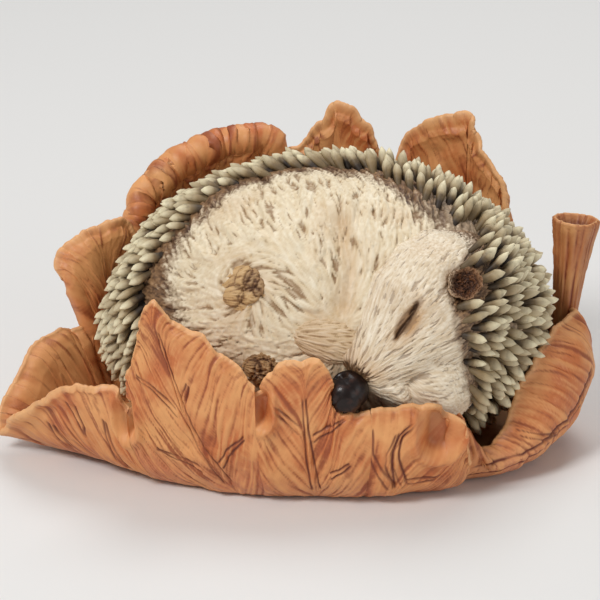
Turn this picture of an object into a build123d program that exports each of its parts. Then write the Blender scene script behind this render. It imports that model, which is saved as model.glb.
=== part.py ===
"""Sleeping hedgehog ornament: the animal lies curled on its back in a nest of dry leaves.

Every piece is cast resin, modelled in millimetres. +X is the viewer's right, +Y points away from
the viewer and +Z up. The origin is the centre of the flat underside that the nest rests on.
"""
import math
import os

from build123d import *

# The nest is a lobed cup. Its wall is placed by an azimuth, 0 at the viewer and positive to the
# right, and by a reach: a share of the cup's half sizes, which is 1 on the cup's own ellipse.
cup_half_width = 50.0
cup_half_depth = 37.0
foot_reach_share = 0.80
leaf_thickness = 2.2
bed_thickness = 3.0
seat_clearance = 0.05
roll_radius = 3.3
roll_stand = 1.5

# Heights of the leaves at their tips.
left_leaf_height = 22.5
front_left_leaf_height = 41.5
front_middle_leaf_height = 31.5
front_right_leaf_height = 21.5
right_leaf_height = 25.0
back_right_leaf_height = 60.8
back_middle_leaf_height = 59.4
back_left_leaf_height = 51.6
fan_leaf_height = 39.5
overrun = 4.0

# The curled body is an ellipsoid that leans back and turns a little to the viewer's left.
body_half_length = 41.0
body_half_height = 28.5
body_half_thickness = 27.0
body_centre_x = 3.0
body_centre_y = -2.0
body_centre_z = 28.3
body_lean = 30.0
body_turn = 8.0
belly_edge = 16.8
belly_edge_slope_u = 0.03
belly_edge_slope_v = -0.16
crease_radius = 1.8
crease_stand = 0.5

# Tufts lie on the belly and rise a little towards their tips.
tuft_length = 9.0
tuft_half_width = 1.9
tuft_half_thickness = 0.8
tuft_root_depth = 0.7

# Quills stand on the back, in a spiral lattice that spaces them evenly.
quill_length = 6.8
quill_half_width = 0.85
quill_root_depth = 0.7
quill_pitch = 3.75
quill_belly_margin = 0.8
quill_lowest = 12.0
quill_leaf_gap = 3.4
spike_root_share = 0.8
spike_swell_share = 0.42
quill_rise_share = 0.65
quill_away_share = 0.75
quill_sweep_share = 0.6
quill_sweep_start_share = 0.5

head_length = 37.5
head_radius = 13.0
cheek_radius = 9.5
nose_radius = 3.5
nose_stand_share = 0.55
ear_radius = 4.3
ear_depth = 3.0
ear_hollow_share = 0.72
ear_lip_share = 0.1
eye_half_length = 4.8
eye_half_width = 1.3
hind_foot_radius = 5.2
hind_first_toe = -30
lower_foot_radius = 4.2
lower_first_toe = 30
toe_count = 4
toe_spacing = 38
toe_start_share = 0.35
toe_end_share = 0.85
toe_rise_share = 0.55
toe_radius_share = 0.20
foot_rise_share = 0.42
front_paw_radius = 2.3
arm_length = 12.0
arm_radius = 3.6
stalk_length = 24.0
stalk_top_radius = 4.9
stalk_bore_radius = 3.4
stalk_bore_depth = 3.0


def direction(azimuth):
    """Unit azimuth as shares of the cup's half sizes: right and away from the viewer."""
    angle = math.radians(azimuth)
    return math.sin(angle), -math.cos(angle)


def on_wall(azimuth, reach, height):
    """A point of the wall at an azimuth, a reach and a height."""
    right, away = direction(azimuth)
    return Vector(cup_half_width * reach * right, cup_half_depth * reach * away, height)


def wall_section(azimuth, mid_reach, rim_reach, rim_height):
    """Closed outline of the leaf wall in the upright plane at one azimuth, from foot to rim."""
    right, away = direction(azimuth)
    scale_here = math.hypot(cup_half_width * right, cup_half_depth * away)
    reaches = (foot_reach_share, foot_reach_share + (mid_reach - foot_reach_share) * turn_reach_share,
               mid_reach, rim_reach)
    heights = (0.0, rim_height * turn_height_share, rim_height * mid_height_share, rim_height)
    outer = [(scale_here * reach, height) for reach, height in zip(reaches, heights)]
    inner = []
    for i, (radius, height) in enumerate(outer):
        before = outer[max(i - 1, 0)]
        after = outer[min(i + 1, len(outer) - 1)]
        run, rise = after[0] - before[0], after[1] - before[1]
        length = math.hypot(run, rise)
        if i == 0:
            run, rise, length = 1.0, 0.0, 1.0
        inner.append((radius - leaf_thickness * rise / length, height + leaf_thickness * run / length))
    last_run, last_rise = outer[3][0] - outer[2][0], outer[3][1] - outer[2][1]
    last = math.hypot(last_run, last_rise)
    crown = ((outer[3][0] + inner[3][0]) / 2 + leaf_thickness / 2 * last_run / last,
             (outer[3][1] + inner[3][1]) / 2 + leaf_thickness / 2 * last_rise / last)

    def lift(point):
        return on_wall(azimuth, point[0] / scale_here, point[1])

    return Wire([
        Edge.make_spline([lift(p) for p in outer]),
        Edge.make_three_point_arc(lift(outer[3]), lift(crown), lift(inner[3])),
        Edge.make_spline([lift(p) for p in reversed(inner)]),
        Edge.make_line(lift(inner[0]), lift(outer[0])),
    ])


def wall(stations, height):
    """Curved leaf wall lofted through stations of azimuth, mid reach, rim reach and height share."""
    sections = [wall_section(azimuth, mid, rim, height * rise) for azimuth, mid, rim, rise in stations]
    return Solid.make_loft(sections)


def swept_rod(places, radius):
    """Round rod along a smooth path through places."""
    path = Edge.make_spline(places)
    return sweep(Plane(origin=path @ 0, z_dir=path % 0) * Circle(radius), path=path)


def cut_to_outline(leaf, outline_shares, height, behind=False):
    """Trims a wall to its leaf outline, drawn from the viewer's side as shares of cup and leaf."""
    points = [Vector(across * cup_half_width, 0, rise * height) for across, rise in outline_shares]
    margin, left_foot, right_foot = points[1:-1], points[0], points[-1]
    outline = Face(Wire([
        Edge.make_spline(margin), Edge.make_line(margin[-1], right_foot),
        Edge.make_line(right_foot, left_foot), Edge.make_line(left_foot, margin[0])]))
    reach = cup_half_depth * 2 + overrun
    prism = extrude(outline, amount=reach, dir=(0, 1 if behind else -1, 0))
    return (leaf & prism).solids().sort_by(SortBy.VOLUME)[-1]


turn_reach_share = 0.55
turn_height_share = 0.09
mid_height_share = 0.45

left_stations_shares = [
    (-103, 0.95, 0.98, 0.86), (-96, 1.00, 1.07, 0.88), (-90, 1.06, 1.17, 0.70), (-84, 1.12, 1.25, 0.42),
    (-78, 1.16, 1.29, 0.20), (-72, 1.14, 1.25, 0.42), (-66, 1.11, 1.20, 0.64), (-59, 1.08, 1.15, 0.88),
    (-52, 1.05, 1.10, 0.97), (-46, 1.03, 1.07, 0.98), (-41, 1.03, 1.08, 0.72)]
front_left_stations_shares = [
    (-41, 1.03, 1.06, 1.05), (-34, 1.02, 1.04, 1.05), (-27, 1.02, 1.02, 1.05), (-19, 1.01, 1.01, 1.05),
    (-12, 1.01, 1.02, 1.05)]
front_middle_stations_shares = [
    (-12, 1.01, 1.02, 1.05), (-4, 1.00, 0.98, 1.05), (4, 1.00, 0.97, 1.05), (12, 1.00, 1.00, 1.05)]
front_right_stations_shares = [
    (12, 1.00, 1.00, 1.05), (18, 1.03, 1.04, 1.05), (25, 1.07, 1.11, 1.05), (33, 1.08, 1.20, 1.05)]
right_stations_shares = [
    (20, 0.93, 0.93, 0.80), (28, 0.94, 0.96, 0.76), (34, 0.95, 0.965, 0.68), (39, 0.97, 0.95, 0.44),
    (44, 1.00, 0.955, 0.30), (50, 1.03, 0.965, 0.42), (56, 1.05, 0.97, 0.60), (63, 1.075, 0.97, 0.84),
    (72, 1.10, 0.975, 0.94), (82, 1.11, 1.00, 0.99), (92, 1.11, 1.06, 1.02), (100, 1.07, 1.045, 0.91),
    (108, 1.05, 1.005, 0.86), (118, 1.01, 0.985, 0.97), (128, 0.99, 0.97, 1.06)]
back_right_stations_shares = [
    (128, 0.99, 0.93, 1.05), (138, 0.99, 0.93, 1.05), (148, 0.99, 0.95, 1.05), (160, 0.98, 0.93, 1.05)]
back_middle_stations_shares = [
    (160, 0.98, 0.93, 1.05), (168, 0.98, 0.95, 1.05), (178, 0.98, 0.95, 1.05), (188, 0.98, 0.93, 1.05)]
back_left_stations_shares = [
    (188, 0.98, 0.94, 0.93), (196, 0.98, 0.92, 1.00), (206, 0.98, 0.91, 0.985), (216, 0.98, 0.91, 0.94),
    (226, 0.97, 0.91, 0.87), (238, 0.96, 0.92, 0.66)]
roll_shares = [
    (192, 0.92, 0.975), (199, 0.91, 1.00), (208, 0.91, 0.98), (217, 0.91, 0.935), (226, 0.91, 0.865),
    (234, 0.915, 0.71)]
fan_stations_shares = [
    (238, 0.93, 0.96, 1.00), (243, 0.93, 1.00, 0.98), (248, 0.94, 1.05, 0.92), (252, 0.94, 1.10, 0.84),
    (255, 0.95, 1.06, 0.68), (257, 0.95, 0.98, 0.49)]

front_left_outline_shares = [
    (-1.20, -0.10), (-0.76, 0.10), (-0.715, 0.36), (-0.70, 0.60), (-0.675, 0.80), (-0.64, 0.94),
    (-0.615, 1.00), (-0.575, 0.985), (-0.55, 0.915), (-0.49, 0.86), (-0.42, 0.83), (-0.375, 0.765),
    (-0.30, 0.71), (-0.265, 0.65), (-0.245, 0.54), (-0.225, 0.45), (-0.15, 0.38), (-0.15, -0.10)]
front_middle_outline_shares = [
    (-0.40, -0.10), (-0.24, 0.56), (-0.20, 0.60), (-0.185, 0.74), (-0.195, 0.84), (-0.16, 0.91),
    (-0.10, 0.985), (-0.055, 0.965), (-0.015, 1.00), (0.02, 0.985), (0.05, 0.90), (0.09, 0.80),
    (0.14, 0.70), (0.24, 0.64), (0.30, -0.10)]
front_right_outline_shares = [
    (0.10, -0.10), (0.18, 0.95), (0.24, 0.95), (0.32, 0.955), (0.39, 1.00), (0.45, 1.00), (0.495, 0.90),
    (0.515, 0.76), (0.505, 0.60), (0.53, 0.46), (0.60, 0.34), (0.66, -0.10)]
back_right_outline_shares = [
    (0.10, -0.10), (0.30, 0.79), (0.36, 0.83), (0.46, 0.925), (0.55, 0.955), (0.62, 0.985), (0.66, 1.00),
    (0.67, 0.94), (0.69, 0.87), (0.735, 0.81), (0.78, 0.755), (0.80, 0.66), (0.84, 0.45), (1.00, -0.10)]
back_middle_outline_shares = [
    (-0.50, -0.10), (-0.16, 0.82), (-0.04, 0.855), (0.0, 0.90), (0.04, 0.93), (0.065, 0.975), (0.095, 1.00),
    (0.13, 0.98), (0.17, 0.975), (0.205, 0.925), (0.24, 0.89), (0.26, 0.83), (0.40, 0.78), (0.60, -0.10)]

# Places on the body, as shares of its half sizes: along its length, up its height, out of its belly.
nose_root_shares = (0.245, -0.605, 0.835)
head_axis_shares = (-0.549, -0.790, 0.273)
cheek_shares = (0.53, -0.50, 0.50)
ear_shares = (0.73, 0.12, 0.93)
ear_facing_shares = (-0.30, 0.10, 0.95)
ear_up_shares = (0.30, 0.95, 0.0)
eye_shares = (0.432, -0.215, 1.06)
eye_axis_shares = (0.55, 0.83, -0.10)
hind_foot_shares = (-0.327, -0.028, 0.955)
lower_foot_shares = (-0.235, -0.535, 0.83)
arm_shares = (0.09, -0.345, 0.93)
arm_axis_shares = (-0.97, 0.16, 0.12)
paw_shares = (-0.04, -0.325, 0.965)
crease_shares = [(0.10, 0.46, 0.882), (0.137, 0.28, 0.950), (0.161, 0.105, 0.981), (0.15, -0.08, 0.985)]
tuft_shares = [
    (-0.10, 0.75, -80), (0.12, 0.73, -85), (-0.32, 0.67, -62), (-0.51, 0.49, -45), (-0.17, 0.47, -58),
    (-0.66, 0.26, -22), (-0.39, 0.40, -30), (-0.73, 0.0, -5), (-0.68, -0.28, 5), (-0.61, -0.53, 10),
    (-0.10, 0.21, -35), (-0.15, -0.06, -20), (-0.04, 0.47, -70)]
quill_whorl_shares = (0.44, -0.21, 1.0)
patch_seam_shares = (-0.36, 0.16, 0.58)
quill_reach_share = 0.885

# Outlines along an axis: share of the length, share of the largest radius.
head_profile_shares = [
    (0.0, 0.0), (0.06, 0.42), (0.21, 0.82), (0.40, 1.0), (0.59, 0.965), (0.75, 0.74), (0.88, 0.50), (1.0, 0.31)]
ear_profile_shares = [(0.0, 1.0), (0.6, 0.8), (0.95, 0.3), (1.0, 0.0)]
stalk_profile_shares = [(0.0, 0.50), (0.25, 0.56), (0.55, 0.74), (0.80, 0.86), (0.93, 1.0)]
stalk_azimuth = 98
stalk_twist = 5
stalk_reach_share = 1.02
stalk_foot_share = 0.80


def make_roll():
    """The margin of the back left leaf, rolled outwards into a rod."""
    places = []
    for azimuth, reach, rise in roll_shares:
        right, away = direction(azimuth)
        on_rim = on_wall(azimuth, reach, rise * back_left_leaf_height)
        places.append(on_rim + Vector(right, away, 0) * roll_stand)
    return swept_rod(places, roll_radius)


def make_leaves():
    """The leaf walls, each a separate casting that meets its neighbours at an upright seam."""
    leaves = {
        "leaf_left": wall(left_stations_shares, left_leaf_height),
        "leaf_front_left": cut_to_outline(
            wall(front_left_stations_shares, front_left_leaf_height),
            front_left_outline_shares, front_left_leaf_height),
        "leaf_front_middle": cut_to_outline(
            wall(front_middle_stations_shares, front_middle_leaf_height),
            front_middle_outline_shares, front_middle_leaf_height),
        "leaf_front_right": cut_to_outline(
            wall(front_right_stations_shares, front_right_leaf_height),
            front_right_outline_shares, front_right_leaf_height),
        "leaf_right": wall(right_stations_shares, right_leaf_height),
        "leaf_back_right": cut_to_outline(
            wall(back_right_stations_shares, back_right_leaf_height),
            back_right_outline_shares, back_right_leaf_height, behind=True),
        "leaf_back_middle": cut_to_outline(
            wall(back_middle_stations_shares, back_middle_leaf_height),
            back_middle_outline_shares, back_middle_leaf_height, behind=True),
        "leaf_back_left": one_solid(wall(back_left_stations_shares, back_left_leaf_height).fuse(make_roll())),
        "leaf_fan": wall(fan_stations_shares, fan_leaf_height),
    }
    return leaves

lean, turn = math.radians(body_lean), math.radians(body_turn)
belly_direction = Vector(-math.sin(turn) * math.cos(lean), -math.cos(turn) * math.cos(lean), math.sin(lean))
length_direction = Vector(math.cos(turn), -math.sin(turn), 0)
body_centre = Vector(body_centre_x, body_centre_y, body_centre_z)
body_frame = Plane(origin=body_centre, x_dir=length_direction, z_dir=belly_direction)
body_half_sizes = (body_half_length, body_half_height, body_half_thickness)


def body_point(along, up, out):
    """A place in the body's own leaning frame."""
    return body_frame.from_local_coords(Vector(along, up, out))


def body_direction(shares):
    """A unit direction given in the body's own leaning frame."""
    return (body_point(*shares) - body_frame.origin).normalized()


def place_shares(shares):
    """A place on the body given in shares of its half sizes."""
    return body_point(*(share * half for share, half in zip(shares, body_half_sizes)))


def one_solid(shape):
    """The largest solid of a shape, without crumbs that a cut leaves."""
    return shape.solids().sort_by(SortBy.VOLUME)[-1]


def spheroid(centre, axis, half_length, radius):
    """Egg shape of revolution along an axis."""
    arc = Edge.make_ellipse(half_length, radius, start_angle=0, end_angle=180)
    half = Face(Wire([arc, Edge.make_line(arc @ 1, arc @ 0)]))
    side = Vector(-axis.Y, axis.X, 0).normalized()
    return Plane(origin=centre, x_dir=axis, z_dir=axis.cross(side)).location * revolve(half, axis=Axis.X)


def turned(radii_along, closing):
    """Solid turned round Z from a smooth outline of (radius, along) points, closed by straight runs."""
    points = [Vector(radius, 0, along) for radius, along in radii_along]
    corners = [Vector(radius, 0, along) for radius, along in closing]
    chain = [points[-1], *corners, points[0]]
    runs = [Edge.make_line(start, end) for start, end in zip(chain, chain[1:]) if (end - start).length > 0]
    return revolve(Face(Wire([Edge.make_spline(points), *runs])), axis=Axis.Z)


def make_body():
    """The whole curled body, and its belly and back, parted on the plane where fur meets quills."""
    ball = body_frame.location * scale(Sphere(1), by=body_half_sizes)
    ball = split(ball, bisect_by=Plane.XY.offset(bed_thickness), keep=Keep.TOP)
    edge_normal = body_direction((-belly_edge_slope_u, -belly_edge_slope_v, 1))
    edge_plane = Plane(origin=body_point(0, 0, belly_edge), z_dir=edge_normal)
    belly = one_solid(split(ball, bisect_by=edge_plane, keep=Keep.TOP))
    back = one_solid(split(ball, bisect_by=edge_plane, keep=Keep.BOTTOM))
    return ball, belly, back


def make_belly(plain_belly):
    """The belly with the crease where the head lies on it, and its larger tufts of hair."""
    along, up, out = body_half_sizes
    path = [place_shares(shares) + body_direction((0, 0, 1)) * crease_stand for shares in crease_shares]
    belly = plain_belly.cut(swept_rod(path, crease_radius))
    tufts = []
    for along_share, up_share, angle in tuft_shares:
        out_share = math.sqrt(1 - along_share ** 2 - up_share ** 2)
        normal = Vector(along_share / along, up_share / up, out_share / out).normalized()
        head = Vector(math.cos(math.radians(angle)), math.sin(math.radians(angle)), 0)
        lie = (head - normal * head.dot(normal)).normalized()
        tufts.append(make_spike(place_shares((along_share, up_share, out_share)), body_direction(lie),
                                body_direction(normal), tuft_length, tuft_half_width, tuft_half_thickness,
                                tuft_root_depth))
    return one_solid(belly.fuse(*tufts))


def make_spike(root, axis, normal, length, half_width, half_thickness, root_depth):
    """One four-sided spike, a quill or tuft, that swells from its root and tapers to a point."""
    frame = Plane(origin=root - axis * root_depth, x_dir=normal.cross(axis), z_dir=axis)
    swell = root_depth + length * spike_swell_share
    sections = []
    for along, share in ((0, spike_root_share), (swell, 1)):
        corners = [frame.from_local_coords(Vector(x * half_width * share, y * half_thickness * share, along))
                   for x, y in ((-1, -1), (1, -1), (1, 1), (-1, 1))]
        sections.append(Wire.make_polygon(corners, close=True))
    return Solid.make_loft([*sections, Vertex(*(root + axis * length))], ruled=True)


def head_gap(point):
    """How far a point stands off the skull's and the cheek's surface."""
    axis = body_direction(head_axis_shares)
    nape = place_shares(nose_root_shares) - axis * head_length
    along = (point - nape).dot(axis) / head_length
    off_axis = (point - nape - axis * along * head_length).length
    radius = 0.0
    for (low, low_radius), (high, high_radius) in zip(head_profile_shares, head_profile_shares[1:]):
        if low <= along <= high:
            radius = head_radius * (low_radius + (high_radius - low_radius) * (along - low) / (high - low))
    beyond = max(0.0, -along, along - 1) * head_length
    return min(math.hypot(max(off_axis - radius, 0), beyond),
               (point - place_shares(cheek_shares)).length - cheek_radius)


def quill_places():
    """Roots and axes of the quills on a spiral lattice over the back, with their place along it."""
    half_long, half_up, half_out = body_half_sizes
    mean_half = (half_long * half_up * half_out) ** (1 / 3)
    count = round(4 * math.pi * mean_half ** 2 / (quill_pitch ** 2 * math.sqrt(3) / 2))
    golden_angle = math.pi * (3 - math.sqrt(5))
    whorl = Vector(*(share * half for share, half in zip(quill_whorl_shares, body_half_sizes)))
    ear = place_shares(ear_shares)
    places = []
    for i in range(count):
        up = 1 - 2 * (i + 0.5) / count
        ring = math.sqrt(1 - up * up)
        along, out = ring * math.cos(golden_angle * i), ring * math.sin(golden_angle * i)
        root = Vector(along * half_long, up * half_up, out * half_out)
        edge = belly_edge + belly_edge_slope_u * root.X + belly_edge_slope_v * root.Y
        if root.Z > edge - quill_belly_margin - quill_half_width:
            continue
        normal = Vector(along / half_long, up / half_up, out / half_out).normalized()
        away = root - whorl
        away = (away - normal * away.dot(normal)).normalized()
        round_body = Vector(-root.Y, root.X, 0).normalized()
        sweep = max(0.0, min(1.0, quill_sweep_start_share - along)) * quill_sweep_share
        axis = normal * quill_rise_share + away * quill_away_share + round_body * sweep
        world_root = body_point(*root)
        world_axis = body_direction(axis.normalized())
        tip = world_root + world_axis * quill_length
        tip_reach = math.hypot(tip.X / cup_half_width, tip.Y / cup_half_depth)
        over_leaf = tip.X > 0 and tip.Z > right_leaf_height + quill_leaf_gap
        clear_of_ear = (world_root - ear).length > ear_radius + quill_half_width * 2
        clear_of_head = min(head_gap(world_root), head_gap(tip)) > quill_half_width * 2
        clear_of_leaves = tip_reach < quill_reach_share or over_leaf
        if world_root.Z > quill_lowest and clear_of_ear and clear_of_head and clear_of_leaves:
            places.append((root.X, world_root, world_axis, body_direction(normal)))
    return places


def make_quill_patches(back):
    """The back, cut across into patches, each with its quills fused on."""
    patches = {}
    rest = back
    places = quill_places()
    seams = [share * body_half_length for share in patch_seam_shares]
    names = ("quills_rump", "quills_back", "quills_shoulder", "quills_crown")
    for name, low, high in zip(names, [-math.inf, *seams], [*seams, math.inf]):
        patch = rest
        if high < math.inf:
            seam = Plane(origin=body_point(high, 0, 0), z_dir=length_direction)
            patch = one_solid(split(rest, bisect_by=seam, keep=Keep.BOTTOM))
            rest = one_solid(split(rest, bisect_by=seam, keep=Keep.TOP))
        quills = [make_spike(root, axis, normal, quill_length, quill_half_width, quill_half_width, quill_root_depth)
                  for along, root, axis, normal in places
                  if low + quill_half_width < along < high - quill_half_width]
        patches[name] = patch.fuse(*quills)
    return patches


def make_head(ball, leaves):
    """The pear-shaped head with its cheek, and the slit of the closed eye to be carved in it."""
    axis = body_direction(head_axis_shares)
    nose_root = place_shares(nose_root_shares)
    profile = [(radius * head_radius, along * head_length) for along, radius in head_profile_shares]
    pear = turned(profile, [(0, head_length)])
    skull = Plane(origin=nose_root - axis * head_length, z_dir=axis).location * pear
    cheek = Pos(*place_shares(cheek_shares)) * Sphere(cheek_radius)
    head = one_solid(skull.fuse(cheek).cut(ball).cut(*leaves))
    slit = spheroid(place_shares(eye_shares), body_direction(eye_axis_shares), eye_half_length, eye_half_width)
    return head, slit


def make_nose():
    """The round nose, seated on the flat end of the snout."""
    axis = body_direction(head_axis_shares)
    nose_root = place_shares(nose_root_shares)
    nose = Plane(origin=nose_root + axis * nose_radius * nose_stand_share, z_dir=axis).location * Sphere(nose_radius)
    return one_solid(split(nose, bisect_by=Plane(origin=nose_root, z_dir=axis), keep=Keep.TOP))


def make_ear(head, ball):
    """The cupped round ear."""
    outside = [(radius * ear_radius, -along * ear_depth) for radius, along in ear_profile_shares]
    inside = [(ear_radius * ear_hollow_share, ear_depth * ear_lip_share), (0, -ear_depth * ear_hollow_share)]
    cup = turned(outside, inside)
    frame = Plane(origin=place_shares(ear_shares), z_dir=body_direction(ear_facing_shares))
    return one_solid((frame.location * cup).cut(head).cut(ball))


def capsule(start, end, radius):
    """Round-ended rod between two points."""
    length = (end - start).length
    arc_side = radius * math.sqrt(0.5)
    outline = Wire([
        Edge.make_three_point_arc(Vector(0, 0, -radius), Vector(arc_side, 0, -arc_side), Vector(radius, 0, 0)),
        Edge.make_line(Vector(radius, 0, 0), Vector(radius, 0, length)),
        Edge.make_three_point_arc(Vector(radius, 0, length), Vector(arc_side, 0, length + arc_side),
                                  Vector(0, 0, length + radius)),
        Edge.make_line(Vector(0, 0, length + radius), Vector(0, 0, -radius))])
    return Plane(origin=start, z_dir=end - start).location * revolve(Face(outline), axis=Axis.Z)


def make_foot(place, radius, first_toe, ball):
    """A curled foot: a round pad with toes folded over it."""
    out = body_direction((0, 0, 1))
    rise = radius * foot_rise_share
    pad_radius = (radius ** 2 + rise ** 2) / (2 * rise)
    foot = Pos(*(place - out * (pad_radius - rise))) * Sphere(pad_radius)
    for i in range(toe_count):
        angle = math.radians(first_toe + toe_spacing * i)
        outwards = body_direction((math.cos(angle), math.sin(angle), 0))
        knuckle = place + out * rise * toe_rise_share
        toe = capsule(knuckle + outwards * radius * toe_start_share,
                      knuckle + outwards * radius * toe_end_share, radius * toe_radius_share)
        foot = foot.fuse(toe)
    return one_solid(foot.cut(ball))


def make_arm(ball, head):
    """The forearm that lies under the chin, with its small paw."""
    arm = spheroid(place_shares(arm_shares), body_direction(arm_axis_shares), arm_length / 2, arm_radius)
    paw = spheroid(place_shares(paw_shares), body_direction((0, 0, 1)), front_paw_radius, front_paw_radius)
    return one_solid(arm.fuse(paw).cut(ball).cut(head))


def make_stalk(right_leaf):
    """The cut leaf stalk: a tapered trumpet with a shallow hollow in its end."""
    outer = [(radius * stalk_top_radius, along * stalk_length) for along, radius in stalk_profile_shares]
    rim = ((stalk_top_radius + stalk_bore_radius) / 2, stalk_length)
    hollow = stalk_length - stalk_bore_depth
    trumpet = turned(outer, [rim, (stalk_bore_radius, stalk_length), (stalk_bore_radius / 2, hollow),
                             (0, hollow), (0, 0)])
    foot_height = right_leaf_height * stalk_foot_share
    foot = on_wall(stalk_azimuth, stalk_reach_share, foot_height)
    top = on_wall(stalk_azimuth + stalk_twist, stalk_reach_share, foot_height + stalk_length)
    return one_solid((Plane(origin=foot, z_dir=top - foot).location * trumpet).cut(right_leaf))


def make_bed():
    """The flat bottom of the cup, which carries the leaves on its edge and the body on top."""
    return extrude(Ellipse(cup_half_width * foot_reach_share - seat_clearance,
                           cup_half_depth * foot_reach_share - seat_clearance), amount=bed_thickness)


def build():
    """All the pieces by name."""
    above_floor = Box(cup_half_width * 4, cup_half_depth * 4, cup_half_width * 4,
                      align=(Align.CENTER, Align.CENTER, Align.MIN))
    pieces = {name: one_solid(leaf & above_floor) for name, leaf in make_leaves().items()}
    pieces["leaf_right"] = one_solid(
        pieces["leaf_right"].cut(pieces["leaf_front_right"]).cut(pieces["leaf_front_middle"]))
    pieces["leaf_bed"] = make_bed()
    pieces["leaf_stalk"] = make_stalk(pieces["leaf_right"])
    ball, plain_belly, back = make_body()
    pieces["belly"] = make_belly(plain_belly)
    head, slit = make_head(ball, [pieces["leaf_right"], pieces["leaf_front_right"], pieces["leaf_front_middle"]])
    pieces["nose"] = make_nose()
    pieces["ear"] = make_ear(head, ball)
    pieces["hind_foot"] = make_foot(place_shares(hind_foot_shares), hind_foot_radius, hind_first_toe, ball)
    pieces["lower_foot"] = make_foot(place_shares(lower_foot_shares), lower_foot_radius, lower_first_toe, ball)
    pieces["front_paw"] = make_arm(ball, head)
    pieces["head"] = one_solid(head.cut(slit))
    pieces.update(make_quill_patches(back))
    return pieces


os.makedirs("parts", exist_ok=True)
for node, piece in build().items():
    export_step(piece, f"parts/{node}.step")
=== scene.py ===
"""Looks of a sleeping hedgehog ornament: a curled animal in a nest of dry leaves, painted cast resin.

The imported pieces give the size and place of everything. Each visible form is modelled here round
them in millimetres, and turned into metres when its mesh is made. +X is the viewer's right, +Y points
away from the viewer and +Z up, from the centre of the flat underside.
"""
from __future__ import annotations

import logging
import math
from collections.abc import Callable, Iterator
from dataclasses import dataclass, field
from enum import Enum

import bpy
import numpy as np
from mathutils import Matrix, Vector
from mathutils.kdtree import KDTree

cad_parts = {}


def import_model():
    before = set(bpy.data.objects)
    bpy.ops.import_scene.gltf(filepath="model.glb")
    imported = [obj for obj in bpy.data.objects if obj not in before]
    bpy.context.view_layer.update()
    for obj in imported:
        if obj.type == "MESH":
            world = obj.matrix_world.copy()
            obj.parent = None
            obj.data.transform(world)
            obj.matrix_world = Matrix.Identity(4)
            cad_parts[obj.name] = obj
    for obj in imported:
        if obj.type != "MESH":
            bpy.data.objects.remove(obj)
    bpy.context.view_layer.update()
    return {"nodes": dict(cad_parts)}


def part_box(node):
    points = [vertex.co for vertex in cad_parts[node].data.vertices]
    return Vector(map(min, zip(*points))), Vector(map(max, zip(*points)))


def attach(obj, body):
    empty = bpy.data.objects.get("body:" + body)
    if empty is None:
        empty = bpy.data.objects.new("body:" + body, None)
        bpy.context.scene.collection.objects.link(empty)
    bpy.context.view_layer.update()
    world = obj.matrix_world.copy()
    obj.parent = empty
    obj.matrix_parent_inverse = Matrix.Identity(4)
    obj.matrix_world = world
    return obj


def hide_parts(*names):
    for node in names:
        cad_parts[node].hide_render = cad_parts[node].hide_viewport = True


log = logging.getLogger("hedgehog")

MM = 0.001
# Large numbers that mix the coordinates of a lattice place into one random number
LATTICE_MIX = (73856093, 19349663, 83492791)
SEED_MIX = 40503
LAST_MIX = 1274126177

Flow = Callable[[np.ndarray], np.ndarray]
Colour = tuple[float, float, float, float]
Pair = tuple[float, float]
Triple = tuple[float, float, float]
Socket = bpy.types.NodeSocket


class Slot(Enum):
    """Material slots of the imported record."""

    LEAF = "leaf"
    STALK = "leaf_stalk"
    FUR = "fur"
    DARK_FUR = "dark_fur"
    SKIN = "skin"
    NOSE = "nose"
    QUILLS = "quills"


class Channel(Enum):
    """What the four channels of a painted mesh hold."""

    TONE = "Red"
    GROOVE = "Green"
    REGION = "Blue"
    EDGE = "Alpha"


def tint(red: int, green: int, blue: int) -> Colour:
    """Linear colour of a paint that is named by its screen values.

    Args:
        red: Screen value from 0 to 255.
        green: Screen value from 0 to 255.
        blue: Screen value from 0 to 255.

    Returns:
        The colour as red, green, blue and a full alpha.
    """
    linear = []
    for value in (red, green, blue):
        share = value / 255
        linear.append(share / 12.92 if share <= 0.04045 else ((share + 0.055) / 1.055) ** 2.4)
    return (*linear, 1.0)


def lattice_noise(points: np.ndarray, grain: float, seed: int) -> np.ndarray:
    """Smooth random field from -1 to 1 on a lattice.

    Args:
        points: Places, one row each.
        grain: Distance between lattice places, in the unit of the points.
        seed: Number that picks the field.

    Returns:
        One value for each place.
    """
    scaled = points / grain
    cell = np.floor(scaled).astype(np.int64)
    share = scaled - cell
    share = share * share * (3 - 2 * share)
    total = np.zeros(len(points))
    for corner in range(8):
        step = np.array([corner & 1, corner >> 1 & 1, corner >> 2 & 1])
        place = cell + step
        across, along, up = (place[:, i] * LATTICE_MIX[i] for i in range(3))
        mixed = across ^ along ^ up ^ seed * SEED_MIX
        mixed = (mixed ^ mixed >> 13) * LAST_MIX & 0xFFFFFFFF
        mixed = (mixed ^ mixed >> 16) & 0xFFFF
        weight = np.prod(np.where(step == 1, share, 1 - share), axis=1)
        total += weight * mixed
    return total / 0x7FFF - 1


def combed_noise(points: np.ndarray, flow: Flow, reach: float, grain: float, seed: int) -> np.ndarray:
    """Random field drawn out along a flow, as strands and fibres are.

    Args:
        points: Places, one row each.
        flow: Gives the unit direction of the strands at places.
        reach: How far a strand runs each way.
        grain: Width of a strand.
        seed: Number that picks the field.

    Returns:
        One value for each place, with a mean of 0 and a spread of 1.
    """
    steps = max(4, round(reach / (grain * 1.2)))
    total = lattice_noise(points, grain, seed)
    for sense in (-1, 1):
        place = points.copy()
        for _ in range(steps):
            place = place + flow(place) * (sense * reach / steps)
            total += lattice_noise(place, grain, seed)
    return np.clip((total - total.mean()) / (total.std() + 1e-9), -2.5, 2.5)


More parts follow.
